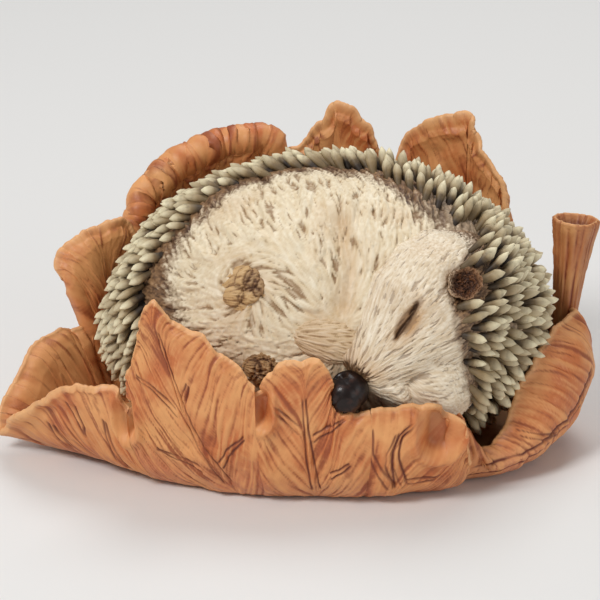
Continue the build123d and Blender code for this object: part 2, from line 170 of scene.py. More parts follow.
def smooth_step(low: float, high: float, value: np.ndarray) -> np.ndarray:
    """Rises smoothly from 0 at low to 1 at high."""
    share = np.clip((value - low) / (high - low), 0, 1)
    return share * share * (3 - 2 * share)


def unit(vectors: np.ndarray) -> np.ndarray:
    """The vectors at length 1."""
    return vectors / (np.linalg.norm(vectors, axis=-1, keepdims=True) + 1e-12)


def bump_at(points: np.ndarray, centre: tuple[float, ...], size: float) -> np.ndarray:
    """Round soft spot that is 1 at its centre and fades over its size."""
    gap = np.linalg.norm(points - np.array(centre), axis=-1)
    return np.exp(-((gap / size) ** 2))


def path_gap(points: np.ndarray, path: np.ndarray) -> np.ndarray:
    """Distance from each place to a path of straight runs.

    Args:
        points: Places, one row each.
        path: Corners of the path, one row each.

    Returns:
        One distance for each place.
    """
    nearest = np.full(len(points), np.inf)
    for start, end in zip(path, path[1:]):
        run = end - start
        share = np.clip((points - start) @ run / (run @ run + 1e-12), 0, 1)
        nearest = np.minimum(nearest, np.linalg.norm(points - start - share[:, None] * run, axis=1))
    return nearest


def heading(degrees: float) -> np.ndarray:
    """Unit direction in a plane, turned from its first axis."""
    return np.array([math.cos(math.radians(degrees)), math.sin(math.radians(degrees))])


class Shading:
    """Node tree of one material, built from a few steps that every finish uses."""

    def __init__(self, name: str) -> None:
        """Starts an empty material with its shader.

        Args:
            name: Name of the material.
        """
        self.material = bpy.data.materials.new(name)
        self.material.use_nodes = True
        self.nodes = self.material.node_tree.nodes
        self.links = self.material.node_tree.links
        self.shader = self.nodes["Principled BSDF"]
        self.paint = self.nodes.new("ShaderNodeAttribute")
        self.paint.attribute_name = "paint"
        self.parts = self.nodes.new("ShaderNodeSeparateColor")
        self.links.new(self.paint.outputs["Color"], self.parts.inputs["Color"])
        self.place = self.nodes.new("ShaderNodeTexCoord").outputs["Object"]

    def channel(self, channel: Channel) -> Socket:
        """One channel of the painted attribute.

        Args:
            channel: Which channel.

        Returns:
            Its socket.
        """
        if channel is Channel.EDGE:
            return self.paint.outputs["Alpha"]
        return self.parts.outputs[channel.value]

    def mix(self, share: Socket, first: Colour | Socket, second: Colour | Socket) -> Socket:
        """Mixes two colours.

        Args:
            share: Socket that gives how much of the second colour shows.
            first: Colour or socket.
            second: Colour or socket.

        Returns:
            The socket of the mixed colour.
        """
        node = self.nodes.new("ShaderNodeMix")
        node.data_type = "RGBA"
        self.links.new(share, node.inputs["Factor"])
        for value, socket in ((first, node.inputs[6]), (second, node.inputs[7])):
            if isinstance(value, tuple):
                socket.default_value = value
            else:
                self.links.new(value, socket)
        return node.outputs[2]

    def ramp(self, value: Socket, low: float, high: float, floor: float = 0.0,
             ceiling: float = 1.0) -> Socket:
        """Maps a value from one range to another and clamps it.

        Args:
            value: Socket to map.
            low: Value that becomes the floor.
            high: Value that becomes the ceiling.
            floor: Smallest result.
            ceiling: Largest result.

        Returns:
            The socket of the mapped value.
        """
        node = self.nodes.new("ShaderNodeMapRange")
        self.links.new(value, node.inputs["Value"])
        node.inputs["From Min"].default_value = low
        node.inputs["From Max"].default_value = high
        node.inputs["To Min"].default_value = floor
        node.inputs["To Max"].default_value = ceiling
        return node.outputs["Result"]

    def layer(self, under: Colour | Socket, over: Colour | Socket, value: Socket, low: float,
              high: float, most: float = 1.0) -> Socket:
        """Lays one colour over another where a value runs from low to high.

        Args:
            under: Colour or socket that shows where the value is low.
            over: Colour or socket that shows where it is high.
            value: Socket that rules where each shows.
            low: Value at which only the first colour shows.
            high: Value at which the second colour shows most.
            most: How much of the second colour shows at most.

        Returns:
            The socket of the mixed colour.
        """
        return self.mix(self.ramp(value, low, high, 0.0, most), under, over)

    def times(self, first: Socket, second: Socket) -> Socket:
        """Product of two values.

        Args:
            first: Socket of a value.
            second: Socket of another value.

        Returns:
            The socket of the product.
        """
        node = self.nodes.new("ShaderNodeMath")
        node.operation = "MULTIPLY"
        self.links.new(first, node.inputs[0])
        self.links.new(second, node.inputs[1])
        return node.outputs[0]

    def noise(self, grain: float, detail: float = 4.0) -> Socket:
        """Cloudy noise with a grain in millimetres.

        Args:
            grain: Size of the clouds.
            detail: How many finer layers they have.

        Returns:
            The socket of the noise, from 0 to 1.
        """
        node = self.nodes.new("ShaderNodeTexNoise")
        node.inputs["Scale"].default_value = 1 / (grain * MM)
        node.inputs["Detail"].default_value = detail
        self.links.new(self.place, node.inputs["Vector"])
        return node.outputs["Fac"]

    def finish(self, colour: Socket, roughness: Socket, relief: Socket,
               depth: float) -> bpy.types.Material:
        """Feeds the shader.

        Args:
            colour: Socket of the base colour.
            roughness: Socket of the roughness.
            relief: Socket of the fine relief.
            depth: Height of the fine relief in millimetres.

        Returns:
            The finished material.
        """
        bump = self.nodes.new("ShaderNodeBump")
        bump.inputs["Distance"].default_value = depth * MM
        bump.inputs["Strength"].default_value = 1.0
        self.links.new(relief, bump.inputs["Height"])
        self.links.new(bump.outputs["Normal"], self.shader.inputs["Normal"])
        self.links.new(colour, self.shader.inputs["Base Color"])
        self.links.new(roughness, self.shader.inputs["Roughness"])
        return self.material


@dataclass(frozen=True)
class LeafFinish:
    """Washed orange paint with dark red-brown lines, a painted highlight on the edges and pink at the foot.
    """

    light: Colour = tint(230, 164, 104)
    body: Colour = tint(200, 114, 62)
    line: Colour = tint(146, 68, 34)
    groove: Colour = tint(104, 40, 20)
    foot: Colour = tint(204, 140, 108)
    # Pale colour of the painted highlight along the rounded edges
    edge: Colour = tint(236, 180, 124)

    def material(self, name: str) -> bpy.types.Material:
        """Builds the material under a name.

        Args:
            name: Name of the material.

        Returns:
            The material.
        """
        shading = Shading(name)
        tone = shading.channel(Channel.TONE)
        cloud = shading.noise(9.0, 3.0)
        colour = shading.layer(self.body, self.light, cloud, 0.38, 0.64)
        colour = shading.layer(colour, self.foot, shading.channel(Channel.REGION), 0.34, 0.04, 0.75)
        colour = shading.layer(colour, self.light, tone, 0.62, 0.98, 0.62)
        colour = shading.layer(colour, self.line, tone, 0.50, 0.04, 0.85)
        # Painted highlight along the leaf's margin
        colour = shading.layer(colour, self.edge, shading.channel(Channel.EDGE), 0.1, 1.0, 0.75)
        colour = shading.layer(colour, self.groove, shading.channel(Channel.GROOVE), 0.15, 0.9)
        roughness = shading.ramp(cloud, 0.3, 0.7, 0.42, 0.58)
        return shading.finish(colour, roughness, shading.noise(0.5), 0.05)


@dataclass(frozen=True)
class FurFinish:
    """Cream paint over carved hair, with brown painted shade in the gaps between locks and under their
    tips.
    """

    light: Colour = tint(244, 231, 205)
    body: Colour = tint(223, 202, 166)
    # Painted shade in the gaps between locks and under their tips
    gap: Colour = tint(142, 106, 68)
    shade: Colour = tint(190, 142, 86)
    dark: Colour = tint(82, 55, 35)
    tuft: Colour = tint(164, 126, 88)

    def material(self, name: str) -> bpy.types.Material:
        """Builds the material under a name.

        Args:
            name: Name of the material.

        Returns:
            The material.
        """
        shading = Shading(name)
        tone = shading.channel(Channel.TONE)
        groove = shading.channel(Channel.GROOVE)
        colour = shading.layer(self.body, self.light, tone, 0.25, 0.85)
        colour = shading.layer(colour, self.shade, shading.channel(Channel.REGION), 0.0, 1.0, 0.85)
        # Gap colour: painted shade between the locks and under each lock's tip
        colour = shading.layer(colour, self.gap, groove, 0.32, 0.95, 0.88)
        fringe = shading.layer(self.dark, self.tuft, tone, 0.2, 0.9)
        fringe = shading.layer(fringe, self.dark, groove, 0.25, 0.9)
        colour = shading.layer(colour, fringe, shading.channel(Channel.EDGE), 0.05, 0.9)
        roughness = shading.ramp(tone, 0.0, 1.0, 0.62, 0.48)
        return shading.finish(colour, roughness, shading.noise(0.3), 0.03)


@dataclass(frozen=True)
class QuillFinish:
    """Bone-coloured quills with painted shade at their roots, over a dark brown ground."""

    # Dark root colour: painted shade between the quills
    root: Colour = tint(50, 37, 25)
    shaft: Colour = tint(156, 131, 92)
    tip: Colour = tint(238, 226, 190)
    ground: Colour = tint(42, 31, 22)

    def material(self, name: str) -> bpy.types.Material:
        """Builds the material under a name.

        Args:
            name: Name of the material.

        Returns:
            The material.
        """
        shading = Shading(name)
        along = shading.channel(Channel.GROOVE)
        # The dark root colour is painted shade between the quills; the pale tips are their own colour
        colour = shading.layer(self.root, self.shaft, along, 0.30, 0.62)
        colour = shading.layer(colour, self.tip, along, 0.50, 0.86)
        # Blotches of the dark root colour over each quill's lower half spread that painted shade unevenly
        blotchy_root_shade = shading.times(shading.ramp(shading.noise(1.3), 0.50, 0.72), shading.ramp(along, 1.0, 0.5))
        colour = shading.layer(colour, self.root, blotchy_root_shade, 0.0, 1.0, 0.7)
        colour = shading.layer(colour, self.shaft, shading.channel(Channel.TONE), 0.3, 1.0, 0.6)
        colour = shading.mix(shading.channel(Channel.REGION), colour, self.ground)
        roughness = shading.ramp(along, 0.0, 1.0, 0.65, 0.45)
        return shading.finish(colour, roughness, shading.noise(0.35), 0.06)


@dataclass(frozen=True)
class NoseFinish:
    """Glossy dark brown lacquer."""

    body: Colour = tint(26, 14, 11)
    worn: Colour = tint(58, 34, 26)
    coat: float = 0.16
    coat_roughness: float = 0.08
    specular: float = 0.25

    def material(self, name: str) -> bpy.types.Material:
        """Builds the material under a name.

        Args:
            name: Name of the material.

        Returns:
            The material.
        """
        shading = Shading(name)
        cloud = shading.noise(1.4)
        colour = shading.layer(self.body, self.worn, cloud, 0.52, 0.75)
        shading.shader.inputs["Coat Weight"].default_value = self.coat
        shading.shader.inputs["Coat Roughness"].default_value = self.coat_roughness
        shading.shader.inputs["Specular IOR Level"].default_value = self.specular
        return shading.finish(colour, shading.ramp(cloud, 0.3, 0.7, 0.30, 0.42), shading.noise(0.7), 0.05)


@dataclass(frozen=True)
class FloorFinish:
    """Plain pale studio floor."""

    body: Colour = tint(232, 231, 229)
    roughness: float = 0.9

    def material(self, name: str) -> bpy.types.Material:
        """Builds the material under a name.

        Args:
            name: Name of the material.

        Returns:
            The material.
        """
        material = bpy.data.materials.new(name)
        material.use_nodes = True
        shader = material.node_tree.nodes["Principled BSDF"]
        shader.inputs["Base Color"].default_value = self.body
        shader.inputs["Roughness"].default_value = self.roughness
        return material


def deselect() -> None:
    """Deselects every object."""
    bpy.ops.object.select_all(action="DESELECT")


def store_paint(mesh: bpy.types.Mesh, paint: np.ndarray) -> None:
    """Writes the painted channels of a mesh, one row of four for each vertex."""
    layer = mesh.attributes.new("paint", "FLOAT_COLOR", "POINT")
    layer.data.foreach_set("color", np.clip(paint, 0, 1).astype(np.float32).ravel())


def grid_piece(name: str, places: np.ndarray, paint: np.ndarray, fill: bool = False) -> bpy.types.Object:
    """Piece made from a grid whose vertices are moved to their places and welded where borders meet.

    Args:
        name: Name of the piece.
        places: Rows, columns and the three coordinates in millimetres.
        paint: Rows, columns and the four painted channels.
        fill: Whether the open border gets a face.

    Returns:
        The piece, at the origin.
    """
    rows, columns = places.shape[:2]
    deselect()
    bpy.ops.mesh.primitive_grid_add(x_subdivisions=columns - 1, y_subdivisions=rows - 1, size=MM)
    piece = bpy.context.object
    piece.name = name
    piece.data.vertices.foreach_set("co", (places * MM).astype(np.float32).ravel())
    store_paint(piece.data, paint.reshape(-1, 4))
    close_shape(fill)
    return piece


def close_shape(fill: bool) -> None:
    """Welds the active piece's borders, closes its hole and turns its faces outwards.

    Args:
        fill: Whether the open border gets a face.
    """
    bpy.ops.object.mode_set(mode="EDIT")
    bpy.ops.mesh.select_all(action="SELECT")
    bpy.ops.mesh.remove_doubles(threshold=1e-6)
    bpy.ops.mesh.dissolve_degenerate(threshold=1e-7)
    if fill:
        bpy.ops.mesh.select_all(action="DESELECT")
        bpy.ops.mesh.select_mode(type="EDGE")
        bpy.ops.mesh.select_non_manifold(extend=False)
        bpy.ops.mesh.edge_face_add()
    bpy.ops.mesh.select_all(action="SELECT")
    bpy.ops.mesh.normals_make_consistent(inside=False)
    bpy.ops.object.mode_set(mode="OBJECT")
    bpy.ops.object.shade_smooth()


def dress(piece: bpy.types.Object, material: bpy.types.Material, nodes: tuple[str, ...]) -> None:
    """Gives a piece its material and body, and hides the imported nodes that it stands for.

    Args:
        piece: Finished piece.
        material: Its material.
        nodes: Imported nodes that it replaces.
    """
    piece.data.materials.clear()
    piece.data.materials.append(material)
    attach(piece, "root")
    if nodes:
        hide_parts(*nodes)
    log.info("%s: %d vertices", piece.name, len(piece.data.vertices))


def detail_scale() -> float:
    return 1.0


def scaled(counts: tuple[int, int]) -> tuple[int, int]:
    return round(counts[0] * detail_scale()), round(counts[1] * detail_scale())


@dataclass(frozen=True)
class Cup:
    """The oval that the leaves stand round."""

    half_width: float = 50.0
    half_depth: float = 37.0
    foot_reach: float = 0.80

    def wall(self, azimuth: np.ndarray, reach: np.ndarray, height: np.ndarray) -> np.ndarray:
        """Places on the wall.

        Args:
            azimuth: Degrees from the viewer, positive to the right.
            reach: Share of the oval's half sizes.
            height: Height over the underside.

        Returns:
            The places, with the coordinates last.
        """
        angle = np.radians(azimuth)
        return np.stack([self.half_width * reach * np.sin(angle),
                         -self.half_depth * reach * np.cos(angle),
                         height + 0 * angle], axis=-1)


@dataclass
class Leaf:
    """One leaf: a wall that curves up from the foot of the cup to its own margin.

    The margin is a list of azimuth, reach and height, the middle of azimuth and reach, and each vein of
    azimuth and height, from its root. Curls are shares along the margin, with the length of the curled
    strip and the angle that it turns outwards. A bead is a share along the margin and how far its edge
    is rolled. Pockets are hollows with a rolled lip: azimuth, height, half sizes and depth. The margin's
    corners are rounded off over the corner length, and its edge is ragged by the ragged height. Side
    veins have a share of the midrib's size, and beside each vein the leaf swells by the shoulder.
    Fibre, streak and crinkle are heights of its grain. No grid has fewer rows or columns than the
    fewest.
    """

    name: str
    node: str
    foot: Pair
    margin: list[Triple]
    middle: list[Pair]
    veins: list[list[Pair]]
    curls: list[Triple] = field(default_factory=lambda: [(0.0, 0.4, 0.0), (1.0, 0.4, 0.0)])
    bead: list[Pair] = field(default_factory=lambda: [(0.0, 0.35), (1.0, 0.35)])
    pockets: list[tuple[float, ...]] = field(default_factory=list)
    branch: float = 0.7
    lean: float = 0.0
    per_degree: float = 0.82
    fibre: float = 0.06
    streak: float = 0.07
    crinkle: float = 0.06
    thickness: float = 2.2
    spacing: float = 0.24
    corner: float = 0.9
    ragged: float = 0.30
    vein_height: float = 0.48
    vein_width: float = 0.55
    shoulder: float = 0.22
    line_depth: float = 0.24
    side_vein: float = 0.66
    cap_steps: int = 5
    fewest: int = 24
    seed: int = 1
    cup: Cup = Cup()

    def margin_line(self, columns: int) -> tuple[np.ndarray, float]:
        """Azimuth, reach and height along the margin, and its length.

        Args:
            columns: How many places are wanted.

        Returns:
            The places, one row each, and the length in millimetres.
        """
        corners = np.array(self.margin)
        solid = self.cup.wall(corners[:, 0], corners[:, 1], corners[:, 2])
        gaps = np.linalg.norm(np.diff(solid, axis=0), axis=1)
        along = np.concatenate([[0], np.cumsum(gaps)])
        wanted = np.linspace(0, along[-1], columns)
        line = np.stack([np.interp(wanted, along, corners[:, i]) for i in range(3)], axis=1)
        width = max(1, round(self.corner / (along[-1] / columns)))
        kernel = np.exp(-0.5 * (np.arange(-3 * width, 3 * width + 1) / width) ** 2)
        kernel /= kernel.sum()
        padded = np.concatenate([2 * line[:1] - line[3 * width:0:-1], line,
                                 2 * line[-1:] - line[-2:-3 * width - 2:-1]])
        line = np.stack([np.convolve(padded[:, i], kernel, mode="valid") for i in range(3)], axis=1)
        nick = np.stack([wanted, 0 * wanted, 0 * wanted], axis=1)
        fade = np.clip(np.minimum(wanted, along[-1] - wanted) / 2, 0, 1)
        line[:, 2] += self.ragged * fade * (lattice_noise(nick, 1.6, self.seed)
                                            + 0.6 * lattice_noise(nick, 0.7, self.seed + 1))
        line[:, 1] += 0.012 * fade * lattice_noise(nick, 4.0, self.seed + 2)
        return line, float(along[-1])

    def surface(self, columns: int, rows: int) -> tuple[np.ndarray, np.ndarray, float]:
        """Outer face of the leaf, a curve through four places for each column.

        Args:
            columns: Places along the margin.
            rows: Places from the foot to the margin.

        Returns:
            The places, the margin's height over each column, and the margin's length.
        """
        line, length = self.margin_line(columns)
        turn, reach, height = line.T
        foot = self.foot[0] + (self.foot[1] - self.foot[0]) * np.linspace(0, 1, columns)
        halfway = 0.5 * foot + 0.5 * turn
        known = np.array(sorted(self.middle))
        middle = np.interp(halfway, known[:, 0], known[:, 1])
        root = self.cup.foot_reach
        controls = [
            self.cup.wall(foot, root + 0 * foot, 0 * foot),
            self.cup.wall(0.85 * foot + 0.15 * turn, root + 0.55 * (middle - root), 0.09 * height),
            self.cup.wall(halfway, middle, 0.45 * height),
            self.cup.wall(turn, reach, height)]
        knots = (0.0, 0.2, 0.5, 1.0)
        up = np.linspace(0, 1, rows)
        places = np.zeros((rows, columns, 3))
        for i, control in enumerate(controls):
            weight = np.ones(rows)
            for j, knot in enumerate(knots):
                if i != j:
                    weight = weight * (up - knot) / (knots[i] - knot)
            places += weight[:, None, None] * control[None]
        return places, height, length

    def outward(self, places: np.ndarray) -> np.ndarray:
        """Unit normals of a grid that point out of the cup.

        Args:
            places: Grid of a wall.

        Returns:
            One normal for each place.
        """
        normals = unit(np.cross(np.gradient(places, axis=1), np.gradient(places, axis=0)))
        inward = (normals * places * np.array([1, 1, 0])).sum() < 0
        return -normals if inward else normals

    def curl(self, places: np.ndarray) -> np.ndarray:
        """Adds the strip of the margin that curls outwards.

        Args:
            places: Grid of the wall.

        Returns:
            The grid with the strip's rows on top.
        """
        normals = self.outward(places)[-1]
        rising = unit(places[-1] - places[-3])
        shares = np.linspace(0, 1, places.shape[1])
        known, lengths, turns = np.array(self.curls).T
        strip = np.interp(shares, known, lengths)
        bend = (np.radians(np.interp(shares, known, turns)) + 1e-3) / strip
        count = max(3, round(max(strip) / self.spacing * detail_scale()))
        rows = [places]
        for i in range(1, count + 1):
            run = strip * i / count
            forward = (np.sin(bend * run) / bend)[:, None] * rising
            aside = ((1 - np.cos(bend * run)) / bend)[:, None] * normals
            rows.append((places[-1] + forward + aside)[None])
        return np.concatenate(rows)

    def flat_places(self, whole: np.ndarray, heights: np.ndarray, length: float, rows: int) -> np.ndarray:
        """The leaf laid flat, in millimetres, for what follows its own surface.

        Args:
            whole: Grid of the wall and of its curled strip.
            heights: The margin's height over each column.
            length: Length of the margin.
            rows: How many rows of the grid are the wall's.

        Returns:
            The laid grid.
        """
        across = np.linspace(-0.5, 0.5, len(heights))[None, :]
        up = np.linspace(0, 1, rows)[:, None]
        foot_radius = self.cup.half_width * self.cup.foot_reach
        foot_length = abs(math.radians(self.foot[1] - self.foot[0])) * foot_radius
        width = foot_length + (length - foot_length) * up
        flat = np.stack([across * width, up * heights[None, :], 0 * up * across], axis=-1)
        step = np.linalg.norm(np.diff(whole[rows - 1:], axis=0), axis=2).cumsum(axis=0)
        more = np.repeat(flat[-1:], len(step), axis=0)
        more[:, :, 1] += step
        return np.concatenate([flat, more])

    def on_oval(self, places: np.ndarray) -> np.ndarray:
        """Places as millimetres round the cup's oval and millimetres up.

        Args:
            places: Places in millimetres.

        Returns:
            The two measures of each place.
        """
        middle = (self.foot[0] + self.foot[1]) / 2
        turn = np.degrees(np.arctan2(places[..., 0] / self.cup.half_width,
                                     -places[..., 1] / self.cup.half_depth))
        turn = (turn - middle + 180) % 360 - 180 + middle
        return np.stack([turn * self.per_degree, places[..., 2]], axis=-1)

    def laid_flat(self, vein: list[Pair], oval: np.ndarray, flat: np.ndarray) -> np.ndarray:
        """Path of a vein on the wall laid flat.

        Args:
            vein: Azimuths and heights.
            oval: Each place of the wall round the oval and up.
            flat: Each place of the wall laid flat.

        Returns:
            The path, one row for each corner.
        """
        known = np.array(vein, float) * np.array([self.per_degree, 1])
        shares = np.linspace(0, len(known) - 1, 6 * len(known))
        path = np.stack([np.interp(shares, range(len(known)), known[:, i]) for i in range(2)], axis=1)
        nearest = [int(np.argmin(((oval - place) ** 2).sum(axis=1))) for place in path]
        return flat[nearest][::3]

    def carved_veins(self, points: np.ndarray,
                     oval: np.ndarray) -> tuple[np.ndarray, np.ndarray, np.ndarray]:
        """Raised veins, each between two carved lines. The first vein is the midrib.

        Args:
            points: Places of the wall laid flat.
            oval: The same places round the oval and up.

        Returns:
            The relief in millimetres, the groove mask and the path of the midrib.
        """
        raised = np.zeros(len(points))
        groove = np.zeros(len(points))
        paths = [self.laid_flat(vein, oval, points) for vein in self.veins]
        for i, path in enumerate(paths):
            gap = path_gap(points, path) + 0.12 * lattice_noise(points, 2.0, self.seed + 20 + i)
            run = path[-1] - path[0]
            along = np.clip((points - path[0]) @ run / (run @ run), 0, 1)
            size = (1.0 if i == 0 else self.side_vein) * (1 - 0.72 * along)
            ends = smooth_step(0.0, 0.05, along) * (1 - smooth_step(0.93, 1.0, along))
            wear = np.clip(0.95 + 0.4 * lattice_noise(points, 3.0, self.seed + 40 + i), 0.4, 1)
            thin = (1.0 if i == 0 else 0.9) * wear
            raised += self.vein_height * size * np.exp(-((gap / (self.vein_width * size)) ** 2))
            line = np.exp(-(((gap - 0.95 * size) / (0.12 + 0.12 * thin)) ** 2)) * ends
            raised -= self.line_depth * thin * line
            groove = np.maximum(groove, line * thin)
            raised += self.shoulder * size * np.exp(-(((gap - 2.6 * size) / (1.5 * size)) ** 2))
        return raised, groove, paths[0]

    def relief(self, whole: np.ndarray, laid: np.ndarray) -> tuple[np.ndarray, np.ndarray, np.ndarray]:
        """Veins, fibres and pockets.

        Args:
            whole: Grid of the wall.
            laid: The same grid laid flat.

        Returns:
            The relief in millimetres, the groove mask and the tone.
        """
        points = laid.reshape(-1, 3)
        oval = self.on_oval(whole).reshape(-1, 2)
        raised, groove, midrib = self.carved_veins(points, oval)
        midrib = midrib[np.argsort(midrib[:, 1])]

        def fibres(places: np.ndarray) -> np.ndarray:
            """Direction of the fibres, which branch off the midrib and fan upwards.

            Args:
                places: Places of the wall laid flat.

            Returns:
                One unit direction for each place.
            """
            middle = np.interp(places[:, 1], midrib[:, 1], midrib[:, 0])
            side = self.branch * np.tanh((places[:, 0] - middle) / 1.6) + self.lean
            return unit(np.stack([side, np.ones(len(places)), 0 * side], axis=1))

        fine = combed_noise(points, fibres, 4.5, 0.48, self.seed)
        broad = combed_noise(points, fibres, 6.0, 1.3, self.seed + 5)
        creased = combed_noise(points, fibres, 1.4, 0.9, self.seed + 7)
        raised += self.fibre * fine + self.streak * broad + self.crinkle * creased
        tone = np.clip(0.56 + 0.26 * fine + 0.10 * broad + 0.5 * self.crinkle * creased, 0, 1)
        for turn, height, half_width, half_height, depth in self.pockets:
            off = (oval - np.array([turn * self.per_degree, height])) / np.array([half_width, half_height])
            fade = 1 - smooth_step(1.0, 1.7, off[:, 1])
            reach = np.hypot(off[:, 0], np.minimum(off[:, 1], 0.25 * off[:, 1]))
            hollow = (1 - smooth_step(0.45, 1.0, reach)) * fade
            lip = np.exp(-(((reach - 1.2) / 0.26) ** 2)) * fade
            near = np.exp(-((reach / 1.35) ** 6)) * fade
            raised = raised * (1 - 0.8 * near) + 0.6 * depth * lip - depth * hollow
            # The hollow takes the dark groove colour: painted shade inside the pocket
            groove = groove * (1 - near) + 0.42 * hollow
            tone = tone * (1 - near) + near * (0.66 + 0.35 * (tone - 0.5))
        return raised, groove, tone

    def build(self) -> bpy.types.Object:
        """Models the leaf with both faces and a rounded margin.

        Returns:
            The piece.
        """
        scale = detail_scale()
        line, length = self.margin_line(64)
        columns = max(self.fewest, round(length / self.spacing * scale))
        rows = max(self.fewest, round(max(line[:, 2]) / self.spacing * scale))
        wall, heights, length = self.surface(columns, rows)
        whole = self.curl(wall)
        flat = self.flat_places(whole, heights, length, rows)
        normals = self.outward(whole)
        raised, groove, tone = (mask.reshape(whole.shape[:2]) for mask in self.relief(whole, flat))
        points = flat.reshape(-1, 3)
        warp = 0.55 * lattice_noise(points, 9.0, self.seed + 8)
        warp += 0.30 * lattice_noise(points, 3.2, self.seed + 9)
        below = flat[-1:, :, 1] - flat[:, :, 1]
        side = np.linspace(0, 1, columns)
        fade = np.clip(np.minimum(side, 1 - side) * length / 2.0, 0, 1)[None, :]
        lift = np.clip(flat[:, :, 1] / 5.0, 0, 1) * fade
        raised = raised * (0.25 + 0.75 * lift)
        bead = np.interp(side, *np.array(self.bead).T)[None, :]
        rolled = bead * np.exp(-(((below - 0.7) / (0.7 + 0.5 * bead)) ** 2))
        base = whole + normals * (warp.reshape(whole.shape[:2]) * lift + rolled)[:, :, None]
        thick = self.thickness * (0.48 + 0.52 * np.clip(below / 4.0, 0, 1))
        thick[:, 0] = thick[:, -1] = 0
        thick[0, :] = 0
        outer = base + normals * raised[:, :, None]
        inner = base - normals * (thick - 0.6 * raised * (thick > 0))[:, :, None]
        rising = unit(whole[-1] - whole[-2])
        centre = (outer[-1] + inner[-1]) / 2
        radius = np.linalg.norm(outer[-1] - inner[-1], axis=1)[:, None] / 2
        turns = [math.pi * i / self.cap_steps for i in range(1, self.cap_steps)]
        cap = [centre + radius * (math.cos(turn) * unit(outer[-1] - centre) + math.sin(turn) * rising)
               for turn in turns]
        places = np.concatenate([outer, np.array(cap), inner[::-1]])
        places[:, :, 2] = np.maximum(places[:, :, 2], 0)
        up = flat[:, :, 1] / max(heights.max(), 1)
        # Mask of the painted highlight, strongest at the margin
        edge = np.exp(-np.clip(below, 0, None) / 0.7)
        painted = np.stack([tone, groove, up, edge], axis=-1)
        top = np.repeat(painted[-1:], len(cap), axis=0)
        top[:, :, 1] = 0
        inside = painted[::-1].copy()
        inside[:, :, 1] *= 0.6
        inside[:, :, 2] = np.maximum(inside[:, :, 2], 0.4)
        return grid_piece(self.name, places, np.concatenate([painted, top, inside]))


@dataclass(frozen=True)
class Stalk:
    """The cut stalk: a bent trumpet with a rough hollow end.

    The profile runs up from the foot, over the rim and down into the hollow, as shares of the height
    and radii. The rim and the mouth are places in that list.
    """

    foot: Triple = (50.6, 5.0, 17.0)
    top: Pair = (52.6, 6.6)
    below_node: float = 0.4
    profile: tuple[Pair, ...] = (
        (0.0, 2.4), (0.25, 2.7), (0.55, 3.3), (0.80, 3.9), (0.93, 4.5), (0.985, 4.6), (1.0, 4.2),
        (0.985, 3.7), (0.93, 3.1), (0.88, 2.2), (0.88, 0.0))
    rim: int = 6
    mouth: int = 7

    def build(self) -> bpy.types.Object:
        """Models the stalk.

        Returns:
            The piece.
        """
        columns, rows = round(120 * detail_scale()), round(110 * detail_scale())
        low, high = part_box("leaf_stalk")
        foot = np.array([*self.foot[:2], max(low.z / MM, self.foot[2])])
        run = np.array([*self.top, high.z / MM - self.below_node]) - foot
        length = np.linalg.norm(run)
        axis = run / length
        side = unit(np.cross(axis, np.array([0, 1.0, 0])))
        ahead = np.cross(side, axis)
        angle = np.linspace(0, 2 * np.pi, columns)
        ring = np.stack([np.cos(angle), np.sin(angle)], axis=1)
        along, radius = np.array(self.profile).T
        knots = np.linspace(0, 1, len(along))
        share = np.linspace(0, 1, rows)
        rise = (np.interp(share, knots, along) * length)[:, None]
        flat = np.stack(np.broadcast_arrays(ring[None, :, 0] * 6, ring[None, :, 1] * 6, rise), axis=-1)
        ribs = combed_noise(flat.reshape(-1, 3), lambda p: np.tile([0.0, 0.0, 1.0], (len(p), 1)), 5.0, 0.6,
                            7).reshape(rows, columns)
        ribs[:, -1] = ribs[:, 0]
        wave = 1 + 0.05 * np.sin(3 * angle)[None, :] + 0.035 * ribs
        spread = np.interp(share, knots, radius)[:, None] * wave
        places = (foot + axis * rise[..., None]
                  + spread[..., None] * (side * ring[None, :, :1] + ahead * ring[None, :, 1:]))
        # Painted shade darkens the hollow end and the deepest ribs, and the rim gets the painted highlight
        # of the edge colour
        inside = np.clip((share - knots[self.mouth]) * 6, 0, 0.85)[:, None]
        rim = np.exp(-((share - knots[self.rim]) / 0.04) ** 2)[:, None]
        dark = inside + np.clip(-ribs - 1.1, 0, 1) * 0.6
        paint = np.stack([0.5 + 0.2 * ribs, dark, 0.6 + 0 * ribs, rim + 0 * ribs], axis=-1)
        return grid_piece("cut_stalk", places, paint, fill=True)


